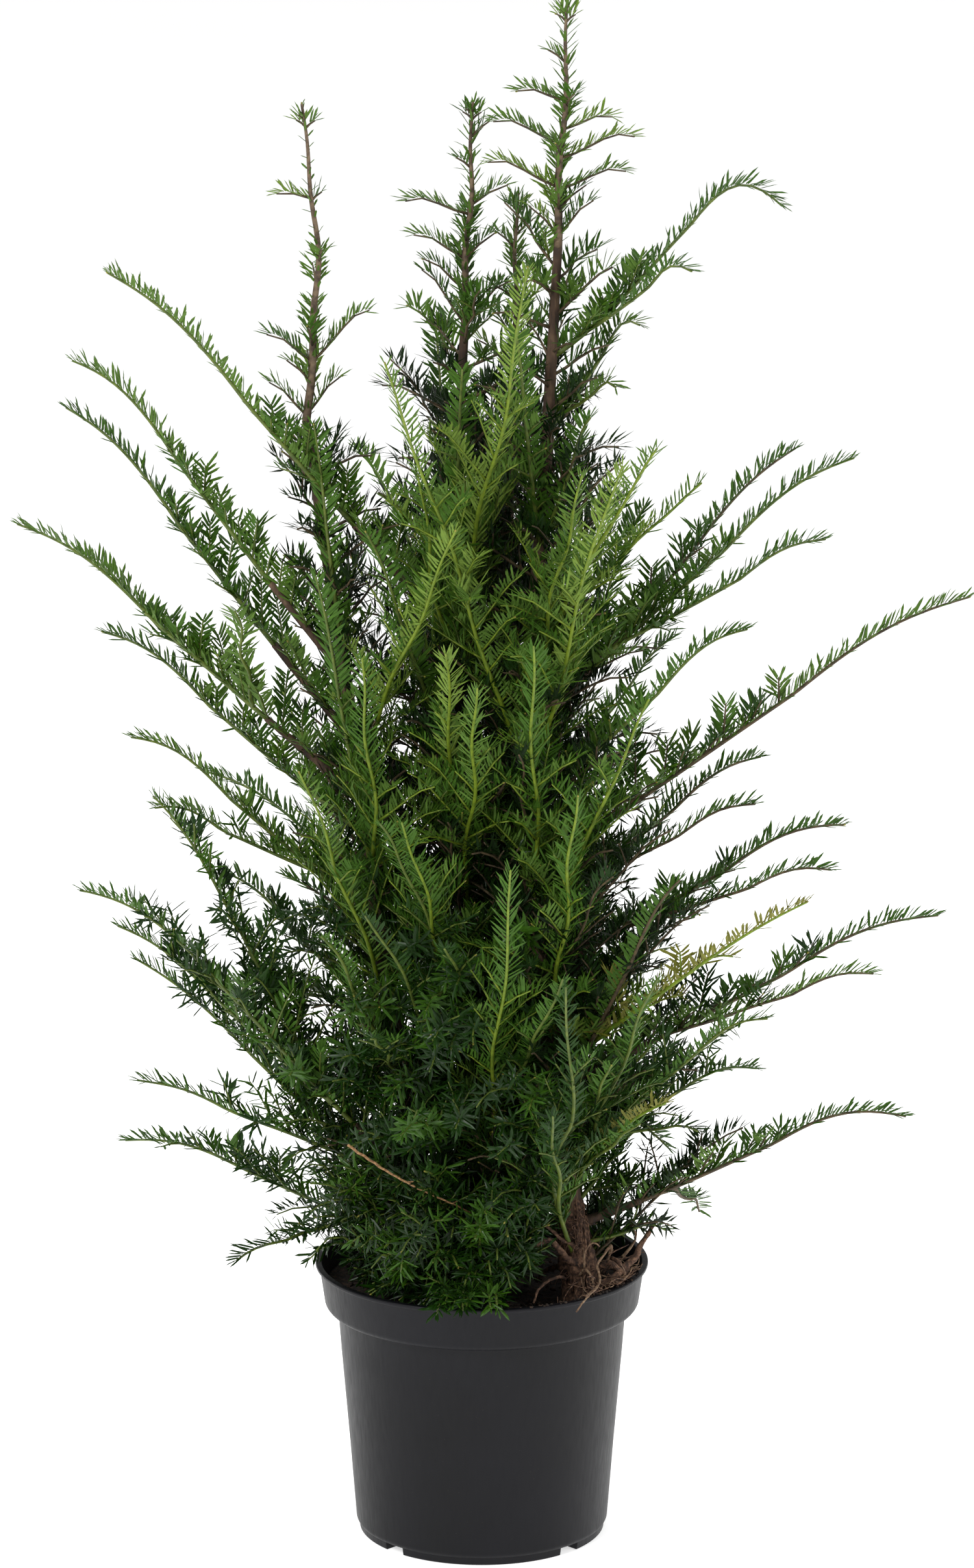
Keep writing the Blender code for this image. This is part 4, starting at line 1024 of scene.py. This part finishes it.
def needleMesh(rows, plain):
    # flat below, a ridge along the top, pointed at both ends: eight points and twelve faces each,
    # or five points and six faces deep in the crown
    root, way, normal, wide, length, bend, width = rows
    shape = needleShape
    near, far = shape["shoulder"], shape["neck"]
    if plain:
        corners = [(0, 0, 0), (0.45, -0.5, 0), (0.45, 0.5, 0), (0.45, 0, 1), (1, 0, 0)]
        upper = [(0, 3, 1), (1, 3, 4), (0, 2, 3), (2, 4, 3)]
        under = [(0, 1, 2), (1, 4, 2)]
    else:
        corners = [
            (0, 0, 0), (near, -0.42, 0), (near, 0.42, 0), (near, 0, 1),
            (far, -0.44, 0), (far, 0.44, 0), (far, 0, 1), (1, 0, 0),
        ]
        upper = [
            (0, 3, 1), (1, 3, 6), (1, 6, 4), (4, 6, 7),
            (0, 2, 3), (2, 5, 6), (2, 6, 3), (5, 7, 6),
        ]
        under = [(0, 1, 2), (1, 4, 5), (1, 5, 2), (4, 7, 5)]
    points = []
    for t, u, h in corners:
        point = root + way * (length * t)[:, None]
        point = point + wide * (u * width + bend * length * t * t)[:, None]
        point = point + normal * (h * shape["ridge"] - shape["droop"] * length * t * t)[:, None]
        points.append(point)
    points = np.stack(points, axis=1)
    count = len(root)
    triangles = np.array(upper + under)[None] + (np.arange(count) * len(corners))[:, None, None]
    sides = np.tile(np.array([0] * len(upper) + [1] * len(under)), count)
    return points.reshape(-1, 3), triangles.reshape(-1, 3), sides


def tubeMesh(path, radii, sides, relief=None):
    # a closed tube on a path, whose far end comes to a point
    _, placed, ahead, across, over, _ = sprayFrames(path, pathLength(path) / (len(radii) - 1))
    count = len(placed)
    radii = np.interp(np.linspace(0, 1, count), np.linspace(0, 1, len(radii)), radii)
    turn = 2 * np.pi * np.arange(sides) / sides
    arms = across[:, None] * np.cos(turn)[None, :, None] + over[:, None] * np.sin(turn)[None, :, None]
    thick = radii[:, None] * np.ones(sides)[None]
    if relief is not None:
        thick = thick + relief(placed, arms, radii)
    rings = placed[:, None] + arms * thick[:, :, None]
    tip = placed[-1] + ahead[-1] * radii[-1]
    points = np.concatenate([rings.reshape(-1, 3), tip[None], placed[:1]])
    low = (np.arange(count - 1) * sides)[:, None] + np.arange(sides)[None]
    beside = (np.arange(count - 1) * sides)[:, None] + (np.arange(sides)[None] + 1) % sides
    walls = [
        np.stack([low, beside, beside + sides], axis=-1).reshape(-1, 3),
        np.stack([low, beside + sides, low + sides], axis=-1).reshape(-1, 3),
    ]
    last = (count - 1) * sides
    ring = np.arange(sides)
    beyond = (ring + 1) % sides
    end = np.stack([last + ring, last + beyond, np.full(sides, count * sides)], axis=-1)
    start = np.stack([beyond, ring, np.full(sides, count * sides + 1)], axis=-1)
    return points, np.concatenate([*walls, end, start])


def joinParts(parts):
    # stacks (points, triangles) pairs into one pair
    points, triangles, offset = [], [], 0
    for some, faces in parts:
        points.append(some)
        triangles.append(faces + offset)
        offset += len(some)
    return np.concatenate(points), np.concatenate(triangles)


def addPiece(name, points, triangles, materials, slot, replaced=(), sides=None, smooth=True):
    mesh = bpy.data.meshes.new(name)
    mesh.vertices.add(len(points))
    mesh.vertices.foreach_set("co", points.astype(np.float32).ravel())
    mesh.loops.add(len(triangles) * 3)
    mesh.loops.foreach_set("vertex_index", triangles.astype(np.int32).ravel())
    mesh.polygons.add(len(triangles))
    mesh.polygons.foreach_set("loop_start", np.arange(0, len(triangles) * 3, 3, dtype=np.int32))
    mesh.update(calc_edges=True)
    for material in materials:
        mesh.materials.append(material)
    if sides is not None:
        mesh.polygons.foreach_set("material_index", sides.astype(np.int32))
    mesh.polygons.foreach_set("use_smooth", np.full(len(triangles), smooth))
    mesh.update()
    piece = bpy.data.objects.new(name, mesh)
    bpy.context.scene.collection.objects.link(piece)
    finishPiece(piece, replaced)
    return piece


def finishPiece(piece, replaced=()):
    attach(piece, "root")
    if replaced:
        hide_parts(*replaced)


limit = {"triangles": 180000}


def makeNeedles():
    rng = np.random.default_rng(7)
    total, needles = 0, 0
    for tone, look in needleTones.items():
        each = 6 if look["plain"] else 12
        batches, names, size = [], set(), 0
        materials = needleMaterials(tone)
        number = 1
        chosen = [spray for spray in sprays if spray["tone"] == tone]
        for k, spray in enumerate(chosen):
            rows = needleRows(spray, rng)
            if rows is not None:
                rows = fits(rows)
                batches.append(rows)
                size += len(rows[0]) * each
                if spray["mass"]:
                    names.add(spray["mass"])
            if size > limit["triangles"] or (k == len(chosen) - 1 and size):
                joined = [np.concatenate([batch[j] for batch in batches]) for j in range(7)]
                points, triangles, sides = needleMesh(joined, look["plain"])
                name = "needles_%s_%d" % (tone, number)
                addPiece(name, points, triangles, materials, "needles", sorted(names), sides, False)
                total += len(triangles)
                needles += len(triangles) // each
                batches, names, size = [], set(), 0
                number += 1
    print("needles:", needles, "with", total, "triangles")


def makeShoots():
    total = 0
    for rind in shootTones:
        chosen = [spray for spray in sprays if spray["rind"] == rind]
        parts, names = [], set()
        for spray in chosen:
            thick = spray["thick"]
            step = 0.010 if thick > 0.0015 else 0.014
            count = max(3, round(pathLength(spray["path"]) / step) + 1)
            radii = np.linspace(thick, spray["thin"], count)
            sides = 8 if thick > 0.003 else (6 if thick > 0.0015 else 4)
            parts.append(tubeMesh(spray["path"], radii, sides))
            if spray["mass"]:
                names.add(spray["mass"])
        points, triangles = joinParts(parts)
        total += len(triangles)
        addPiece("shoots_" + rind, points, triangles, [shootMaterial(rind)], "bark", sorted(names))
    print("shoots:", len(sprays), "with", total, "triangles")


def makeBuds():
    # one bud closes about one tip in eight: a small egg of two rings
    rng = np.random.default_rng(3)
    parts = []
    for spray in sprays:
        if rng.random() > 0.12:
            continue
        tip, before = np.array(spray["path"][-1]), np.array(spray["path"][-2])
        ahead = (tip - before) / np.linalg.norm(tip - before)
        long = 0.0022 * rng.uniform(0.8, 1.3)
        path = [Vector(tip + ahead * long * t) for t in (0, 0.5, 1)]
        parts.append(tubeMesh(path, np.array([0.0006, 0.0009, 0.0003]), 5))
    points, triangles = joinParts(parts)
    addPiece("tip_buds", points, triangles, [budMaterial()], "needles")
    print("buds:", len(parts))


# bark relief: how deep and how wide the flakes are, with long ridges up the stem
barkRule = {"deep": 0.11, "wide": 190.0, "tall": 30.0, "sides": 20}


def barkRelief(placed, arms, radii):
    raised = np.zeros(arms.shape[:2])
    for k in range(len(placed)):
        for j in range(arms.shape[1]):
            spot = placed[k] + arms[k, j] * radii[k]
            at = Vector((spot[0] * barkRule["wide"], spot[1] * barkRule["wide"], spot[2] * barkRule["tall"]))
            raised[k, j] = noise.noise(at) + 0.5 * noise.noise(at * 2.3)
    return raised * radii[:, None] * barkRule["deep"]


flare = {"stem": "main_stem", "height": 0.050, "swell": 0.75, "lobes": 4, "lobeDeep": 0.30}


def flareRelief(placed, arms, radii):
    # the foot widens into ribs where the surface roots leave it
    raised = barkRelief(placed, arms, radii)
    foot = placed[0]
    for k in range(len(placed)):
        fade = max(0, 1 - (placed[k][2] - foot[2]) / flare["height"])
        turn = np.arctan2(arms[k][:, 1], arms[k][:, 0])
        swell = flare["swell"] * fade**2 * (1 + flare["lobeDeep"] * np.cos(flare["lobes"] * turn))
        raised[k] += radii[k] * (swell + 0.35 * fade * raised[k] / radii[k])
    return raised


def makeStems(boughs):
    bark = barkMaterial()
    for name, path in stemPaths.items():
        points = [Vector(p[:3]) for p in path]
        radii = np.array([p[3] for p in path])
        relief = flareRelief if name == flare["stem"] else barkRelief
        tube = tubeMesh(points, radii, barkRule["sides"], relief)
        addPiece(name + "_bark", *tube, [bark], "bark", [name])
    parts, names = [], []
    for name, (stem, path) in boughs.items():
        _, radius = stemAt(stem, path[0].z)
        thick = min(radius * 0.62, 0.0048)
        count = max(4, round(pathLength(path) / 0.005))
        radii = np.linspace(thick, 0.0028, count)
        parts.append(tubeMesh(path, radii, 12, barkRelief))
        names.append(name + "_bough")
    points, triangles = joinParts(parts)
    addPiece("bough_bark", points, triangles, [bark], "bark", names)
    print("stems and", len(boughs), "boughs done")


# bare roots round the foot of the main stem: the ones that show, each with its radius at both
# ends, its skin and its route, then thin ones that tangle inside the rim
rootSkins = {
    "dark": [(0.33, "#231711"), (0.5, "#4c3527"), (0.68, "#7a5c47")],
    "tan": [(0.33, "#463326"), (0.5, "#735a45"), (0.68, "#9a8268")],
}
rootRoutes = [
    ("dark", 0.0034, 0.0022, [(0.084, -0.056, 0.240), (0.082, -0.060, 0.248), (0.072, -0.064, 0.254),
                              (0.066, -0.068, 0.263), (0.056, -0.072, 0.274), (0.043, -0.078, 0.270)]),
    ("dark", 0.0022, 0.0012, [(0.083, -0.054, 0.252), (0.082, -0.058, 0.259), (0.075, -0.062, 0.267),
                              (0.066, -0.066, 0.273), (0.060, -0.068, 0.279), (0.052, -0.070, 0.287)]),
    ("dark", 0.0044, 0.0018, [(0.085, -0.052, 0.222), (0.099, -0.062, 0.231), (0.113, -0.058, 0.239),
                              (0.118, -0.050, 0.243), (0.128, -0.042, 0.249), (0.133, -0.038, 0.259),
                              (0.139, -0.036, 0.268), (0.143, -0.034, 0.275)]),
    ("tan", 0.0014, 0.0008, [(0.118, -0.030, 0.246), (0.129, -0.020, 0.259), (0.126, -0.020, 0.269)]),
    ("tan", 0.0011, 0.0006, [(0.085, -0.064, 0.246), (0.086, -0.068, 0.263), (0.092, -0.070, 0.271),
                             (0.098, -0.070, 0.268)]),
    ("tan", 0.0013, 0.0006, [(0.104, -0.048, 0.246), (0.108, -0.050, 0.262), (0.101, -0.062, 0.257),
                             (0.096, -0.072, 0.252), (0.098, -0.088, 0.246), (0.096, -0.100, 0.243),
                             (0.087, -0.122, 0.2405), (0.078, -0.136, 0.2330)]),
    ("tan", 0.0012, 0.0006, [(0.081, -0.062, 0.240), (0.086, -0.070, 0.248), (0.092, -0.078, 0.243),
                             (0.092, -0.095, 0.239), (0.086, -0.118, 0.240)]),
    ("dark", 0.0024, 0.0016, [(0.100, -0.050, 0.244), (0.107, -0.055, 0.249), (0.112, -0.058, 0.246),
                              (0.118, -0.055, 0.240), (0.121, -0.050, 0.226)]),
    ("dark", 0.0020, 0.0012, [(0.108, -0.046, 0.250), (0.115, -0.052, 0.248), (0.117, -0.052, 0.240),
                              (0.119, -0.056, 0.224)]),
    ("dark", 0.0018, 0.0010, [(0.131, -0.036, 0.252), (0.126, -0.040, 0.248), (0.121, -0.050, 0.241),
                              (0.114, -0.062, 0.232), (0.108, -0.070, 0.222)]),
    ("dark", 0.0016, 0.0008, [(0.070, -0.060, 0.236), (0.065, -0.075, 0.243), (0.056, -0.085, 0.243),
                              (0.047, -0.095, 0.238), (0.043, -0.105, 0.230)]),
    ("dark", 0.0036, 0.0016, [(0.082, -0.046, 0.232), (0.070, -0.034, 0.238), (0.056, -0.026, 0.234),
                              (0.046, -0.020, 0.222)]),
    ("dark", 0.0034, 0.0014, [(0.090, -0.042, 0.232), (0.104, -0.028, 0.236), (0.114, -0.012, 0.230),
                              (0.119, 0.004, 0.220)]),
]
rootRule = {"thin": 74, "thinLength": (0.022, 0.060), "fibres": 60}
stump = {"top": 0.300, "thick": (0.0165, 0.0150, 0.0165, 0.0140, 0.0125, 0.0105), "strands": 34}


def stumpRelief(placed, arms, radii):
    # torn, ropy fibres that run up the stump
    raised = np.zeros(arms.shape[:2])
    for k in range(len(placed)):
        for j in range(arms.shape[1]):
            turn = math.atan2(arms[k, j][1], arms[k, j][0])
            at = Vector((3.2 * math.cos(turn), 3.2 * math.sin(turn), placed[k][2] * 26))
            raised[k, j] = noise.noise(at) + 0.6 * noise.noise(at * 2.7)
    return raised * radii[:, None] * 0.30


def wander(start, way, length, chance, wild, droop):
    # a root's path: steps that keep turning a little and sink under their own weight
    path, here, way = [start], start.copy(), way.normalized()
    edge = 0.137
    count = max(5, round(length / 0.006))
    for _ in range(count):
        turn = Vector((chance.gauss(0, wild), chance.gauss(0, wild), chance.gauss(0, wild) - droop))
        way = (way + turn).normalized()
        here = here + way * (length / count)
        out = math.hypot(here.x, here.y)
        if out < 0.1255:
            here.z = max(here.z, skeleton["soil"] + 0.002)
        elif out < 0.1435:
            here.z = max(here.z, 0.2375)
        if out > edge:
            here.x, here.y = here.x * edge / out, here.y * edge / out
        path.append(here.copy())
    return path


def makeRoots():
    chance = random.Random("roots")
    foot = Vector(skeleton["stems"]["main_stem"][0][:3])
    skins = {skin: [] for skin in rootSkins}
    for skin, thick, thin, route in rootRoutes:
        points = [Vector(p) for p in route]
        path = smoothPath(points, 0.003)
        path = [p + Vector([chance.uniform(-1, 1) * 0.0004 for _ in range(3)]) for p in path]
        radii = np.linspace(thick, thin, len(path)) * np.array([chance.uniform(0.85, 1.2) for _ in path])
        skins[skin].append(tubeMesh(path, radii, 9, barkRelief))
    axis = [p for p in stemPaths["main_stem"] if p.z < stump["top"]]
    axis = [Vector(p[:3]) for p in axis]
    skins["dark"].append(tubeMesh(axis, np.array(stump["thick"]).repeat(5), 28, stumpRelief))
    for k in range(stump["strands"]):
        # loose strands that lie along the stump
        turn, low = chance.uniform(0, 6.28), chance.uniform(0.222, 0.262)
        path = []
        for j in range(8):
            height = low + j * chance.uniform(0.005, 0.007)
            here, _ = stemAt("main_stem", height)
            out = 0.0165 - 0.05 * (height - 0.222) + chance.uniform(-0.001, 0.002)
            angle = turn + j * 0.06
            path.append(here + Vector((math.cos(angle), math.sin(angle), 0)) * out)
        skins["tan" if k % 4 == 0 else "dark"].append(tubeMesh(path, np.linspace(0.0010, 0.0004, 9), 5))
    for k in range(rootRule["thin"]):
        turn = math.radians(chance.uniform(-100, 90))
        start = foot + Vector((math.cos(turn), math.sin(turn), 0)) * chance.uniform(0.006, 0.030)
        start.z = skeleton["soil"] + chance.uniform(0.004, 0.026)
        way = Vector((math.cos(turn), math.sin(turn), chance.uniform(-0.2, 0.4)))
        path = wander(start, way, chance.uniform(*rootRule["thinLength"]), chance, 0.30, 0.09)
        radius = chance.uniform(0.0004, 0.0011)
        radii = np.linspace(radius, radius * 0.4, len(path))
        skins["dark" if k % 3 else "tan"].append(tubeMesh(path, radii, 5))
    for k in range(rootRule["fibres"]):
        # short fibres that fray from the stump's left side
        x, y = chance.uniform(0.068, 0.086), chance.uniform(-0.066, -0.052)
        start = Vector((x, y, chance.uniform(0.236, 0.290)))
        way = Vector((chance.uniform(-1, 0.3), chance.uniform(-0.8, 0.3), chance.uniform(-0.8, 0.8)))
        path = wander(start, way, chance.uniform(0.008, 0.024), chance, 0.45, 0.05)
        skins["dark"].append(tubeMesh(path, np.linspace(0.0005, 0.0002, len(path)), 4))
    for skin, parts in skins.items():
        points, triangles = joinParts(parts)
        material = rootMaterial("fibrous root skin " + skin, rootSkins[skin])
        addPiece("roots_" + skin, points, triangles, [material], "bark", ["surface_roots"])
    print("roots:", sum(len(parts) for parts in skins.values()))


# the pot's wall as (radius, height) pairs; the arcs give the collar's fold, the lip and the foot
potShape = {
    "segments": 144,
    "lip": 0.140,
    "height": 0.235,
    "bead": 0.0035,
    "collarTop": 0.1370,
    "collarFoot": 0.1325,
    "collarLow": 0.196,
    "collarRound": 0.006,
    "bodyTop": 0.1215,
    "bodyFoot": 0.1065,
    "foot": 0.008,
    "footInner": 0.088,
    "pad": 0.018,
    "wall": 0.0022,
    "notch": (0.036, 0.020, 0.0135),
}


def arc(centre, radius, start, end, steps):
    turns = [math.radians(start + (end - start) * k / steps) for k in range(steps + 1)]
    return [(centre[0] + radius * math.cos(a), centre[1] + radius * math.sin(a)) for a in turns]


def potProfile():
    p = potShape
    corner = 0.006
    lipRound = 0.0011
    fold = p["collarRound"]
    lowLip = p["height"] - p["bead"]
    return [
        (p["pad"], 0.0),
        (p["pad"], p["foot"]),
        (p["footInner"], p["foot"]),
        (p["footInner"], 0.0006),
        (p["footInner"] + 0.0006, 0.0),
        (0.1029, 0.0),
        (0.1035, 0.0006),
        *arc((p["bodyFoot"] - corner, p["foot"] - 0.003 + corner), corner, -50, 0, 5),
        (p["bodyFoot"] + 0.005, 0.075),
        (p["bodyTop"] - 0.0028, 0.160),
        (p["bodyTop"] - 0.0004, p["collarLow"] - 0.004),
        *arc((p["bodyTop"] + 0.0016, p["collarLow"] - 0.0016), 0.0016, 180, 90, 3),
        *arc((p["collarFoot"] - fold, p["collarLow"] + fold), fold, -90, 0, 6),
        (p["collarTop"] - 0.0008, lowLip - 0.004),
        *arc((p["collarTop"] + 0.0008, lowLip - 0.0012), 0.0012, 180, 90, 3),
        *arc((p["lip"] - lipRound, lowLip + lipRound), lipRound, -90, 0, 3),
        *arc((p["lip"] - lipRound, p["height"] - lipRound), lipRound, 0, 90, 3),
        *arc((p["collarTop"] - p["wall"] + lipRound, p["height"] - lipRound), lipRound, 90, 180, 3),
        (p["collarFoot"] - p["wall"], p["collarLow"] + p["collarRound"]),
        (p["collarFoot"] - p["collarRound"], p["collarLow"] + p["wall"]),
        (p["bodyTop"] - p["wall"], p["collarLow"] + p["wall"]),
        (p["bodyFoot"] - p["wall"], p["foot"] + p["wall"] + 0.004),
        (p["bodyFoot"] - p["wall"] - 0.004, p["foot"] + p["wall"]),
    ]


def spinUp(name, profile, segments):
    # a ring is drawn up the profile by extruding and scaling it, and both ends are filled
    radius, height = profile[0]
    bpy.ops.mesh.primitive_circle_add(
        vertices=segments, radius=radius, location=(0, 0, height), fill_type="NGON"
    )
    piece = bpy.context.object
    piece.name = piece.data.name = name
    bpy.ops.object.transform_apply(location=True)
    bpy.ops.object.mode_set(mode="EDIT")
    bpy.ops.mesh.select_all(action="SELECT")
    bpy.ops.mesh.duplicate()
    bpy.ops.mesh.delete(type="ONLY_FACE")
    bpy.ops.mesh.select_all(action="DESELECT")
    bpy.ops.mesh.select_mode(type="EDGE")
    bpy.ops.mesh.select_non_manifold(extend=False)
    bpy.ops.mesh.select_all(action="SELECT")
    bpy.ops.mesh.remove_doubles(threshold=0.000001)
    bpy.ops.mesh.select_mode(type="VERT")
    for nextRadius, nextHeight in profile[1:]:
        bpy.ops.mesh.extrude_edges_move(TRANSFORM_OT_translate={"value": (0, 0, nextHeight - height)})
        scale = nextRadius / radius
        bpy.ops.transform.resize(value=(scale, scale, 1), center_override=(0, 0, nextHeight))
        radius, height = nextRadius, nextHeight
    bpy.ops.mesh.edge_face_add()
    bpy.ops.mesh.select_all(action="SELECT")
    bpy.ops.mesh.normals_make_consistent(inside=False)
    bpy.ops.object.mode_set(mode="OBJECT")
    return piece


def makePot():
    pot = spinUp("pot_wall", potProfile(), potShape["segments"])
    middle = (potShape["footInner"] + potShape["bodyFoot"]) / 2
    for k in range(4):
        turn = math.radians(45 + 90 * k)
        place = (middle * math.cos(turn), middle * math.sin(turn), 0)
        bpy.ops.mesh.primitive_cube_add(size=1, location=place, rotation=(0, 0, turn))
        notch = bpy.context.object
        notch.scale = potShape["notch"]
        bpy.context.view_layer.objects.active = pot
        cut = pot.modifiers.new("footNotch", "BOOLEAN")
        cut.operation = "DIFFERENCE"
        cut.object = notch
        bpy.ops.object.modifier_apply(modifier=cut.name)
        bpy.data.objects.remove(notch)
    bpy.ops.object.select_all(action="DESELECT")
    pot.select_set(True)
    bpy.context.view_layer.objects.active = pot
    bpy.ops.object.shade_smooth_by_angle(angle=math.radians(35))
    pot.data.materials.append(plasticMaterial())
    finishPiece(pot, ["pot"])
    print("pot:", len(pot.data.polygons), "faces")


# compost: a lumpy top inside the wall, with crumbs, and some dirt left on the rim
soilShape = {
    "radius": 0.1312,
    "body": 0.118,
    "foot": 0.1035,
    "rings": 22,
    "lumps": 0.0042,
    "crumbs": 620,
    "onRim": 46,
}


def makeSoil():
    s = soilShape
    level = skeleton["soil"]
    profile = [(s["foot"], 0.0112), (s["body"], 0.1988), (0.1256, 0.1988), (0.1296, 0.2030)]
    profile += [(s["radius"], level - 0.003), (s["radius"], level)]
    profile += [(s["radius"] * (1 - k / s["rings"]), level) for k in range(1, s["rings"])]
    soil = spinUp("compost", profile, 96)
    for vertex in soil.data.vertices:
        out = math.hypot(vertex.co.x, vertex.co.y)
        if vertex.co.z > level - 0.001 and out < s["radius"] - 0.001:
            broad = noise.noise(vertex.co * 28) + 0.6 * noise.noise(vertex.co * 90)
            vertex.co.z += s["lumps"] * broad * min(1, (s["radius"] - out) / 0.02)
    bpy.ops.object.shade_smooth()
    soil.data.materials.append(compostMaterial())
    finishPiece(soil, ["soil"])


def makeCrumbs():
    bpy.ops.mesh.primitive_ico_sphere_add(subdivisions=1, radius=1)
    lump = bpy.context.object
    template = np.array([list(vertex.co) for vertex in lump.data.vertices])
    faces = np.array([list(face.vertices) for face in lump.data.polygons])
    bpy.data.objects.remove(lump)
    rng = np.random.default_rng(5)
    parts = []
    for k in range(soilShape["crumbs"] + soilShape["onRim"]):
        size = rng.uniform(0.0008, 0.0034) * np.array([1, rng.uniform(0.6, 1), rng.uniform(0.4, 0.9)])
        turn = rng.uniform(0, 2 * math.pi)
        if k < soilShape["crumbs"]:
            out = 0.126 * math.sqrt(rng.random())
            height = skeleton["soil"] + rng.uniform(-0.0005, 0.0035)
        else:
            turn = math.radians(rng.uniform(282, 345))
            out = rng.uniform(0.1355, 0.1395)
            height = potShape["height"] + size[2] * 0.3
            size = size * 0.55
        spin = np.array(Matrix.Rotation(rng.uniform(0, 6.3), 3, "Z"))
        shaped = (template * size * rng.uniform(0.75, 1.25, template.shape)) @ spin.T
        parts.append((shaped + [out * math.cos(turn), out * math.sin(turn), height], faces))
    points, triangles = joinParts(parts)
    material = bpy.data.materials["damp potting compost"]
    addPiece("compost_crumbs", points, triangles, [material], "soil", smooth=False)
    print("compost done with", len(parts), "crumbs")


# dead bits: bare tan twigs caught in the lower crown, just above the rim
deadTwigs = [
    [(-0.109, -0.140, 0.376), (-0.083, -0.130, 0.355), (-0.061, -0.120, 0.338), (-0.030, -0.110, 0.320),
     (-0.004, -0.086, 0.300), (0.000, -0.050, 0.285)],
]


def deadwoodMaterial():
    # dry twig that has lost its needles: pale tan, matt, finely cracked
    material, surface, coords = newMaterial("dry bare twig", Roughness=0.8)
    cracks = addNode(material, "ShaderNodeTexNoise", {"Vector": coords, "Scale": 500.0, "Detail": 4.0})
    colour = ramp(material, cracks.outputs["Fac"], [(0.35, "#6a4a2c"), (0.65, "#a98358")])
    feed(material, surface, colour, height=cracks.outputs["Fac"], depth=0.0005, strength=0.8)
    return material


def makeDeadTwigs():
    chance = random.Random("dead")
    parts = []
    for route in deadTwigs:
        path = smoothPath([Vector(p) for p in route], 0.006)
        path = [p + Vector((0, 0, chance.uniform(-0.0008, 0.0008))) for p in path]
        parts.append(tubeMesh(path, np.linspace(0.0012, 0.0005, len(path)), 6))
        for share in (0.35, 0.6, 0.8):
            root, ahead = heading(path, share)
            way = (ahead + Vector((0, chance.uniform(-1, 1), chance.uniform(-0.2, 1)))).normalized()
            stub = archedPath(root, root + way * chance.uniform(0.006, 0.016), 0.001, 0.003)
            parts.append(tubeMesh(stub, np.linspace(0.0007, 0.0003, len(stub)), 5))
    points, triangles = joinParts(parts)
    addPiece("dead_twigs", points, triangles, [deadwoodMaterial()], "bark")


makeCamera()
makeStudio()
reachBox = [[c - 0.004 for c in cadBounds[0]], [c + 0.004 for c in cadBounds[1]]]
boughPaths = growLongShoots()
growLeaders()
growCore()
growSkirt()
growFront()
print("sprays grown:", len(sprays))
makeNeedles()
makeShoots()
makeBuds()
makeStems(boughPaths)
makeRoots()
makePot()
makeSoil()
makeCrumbs()
makeDeadTwigs()
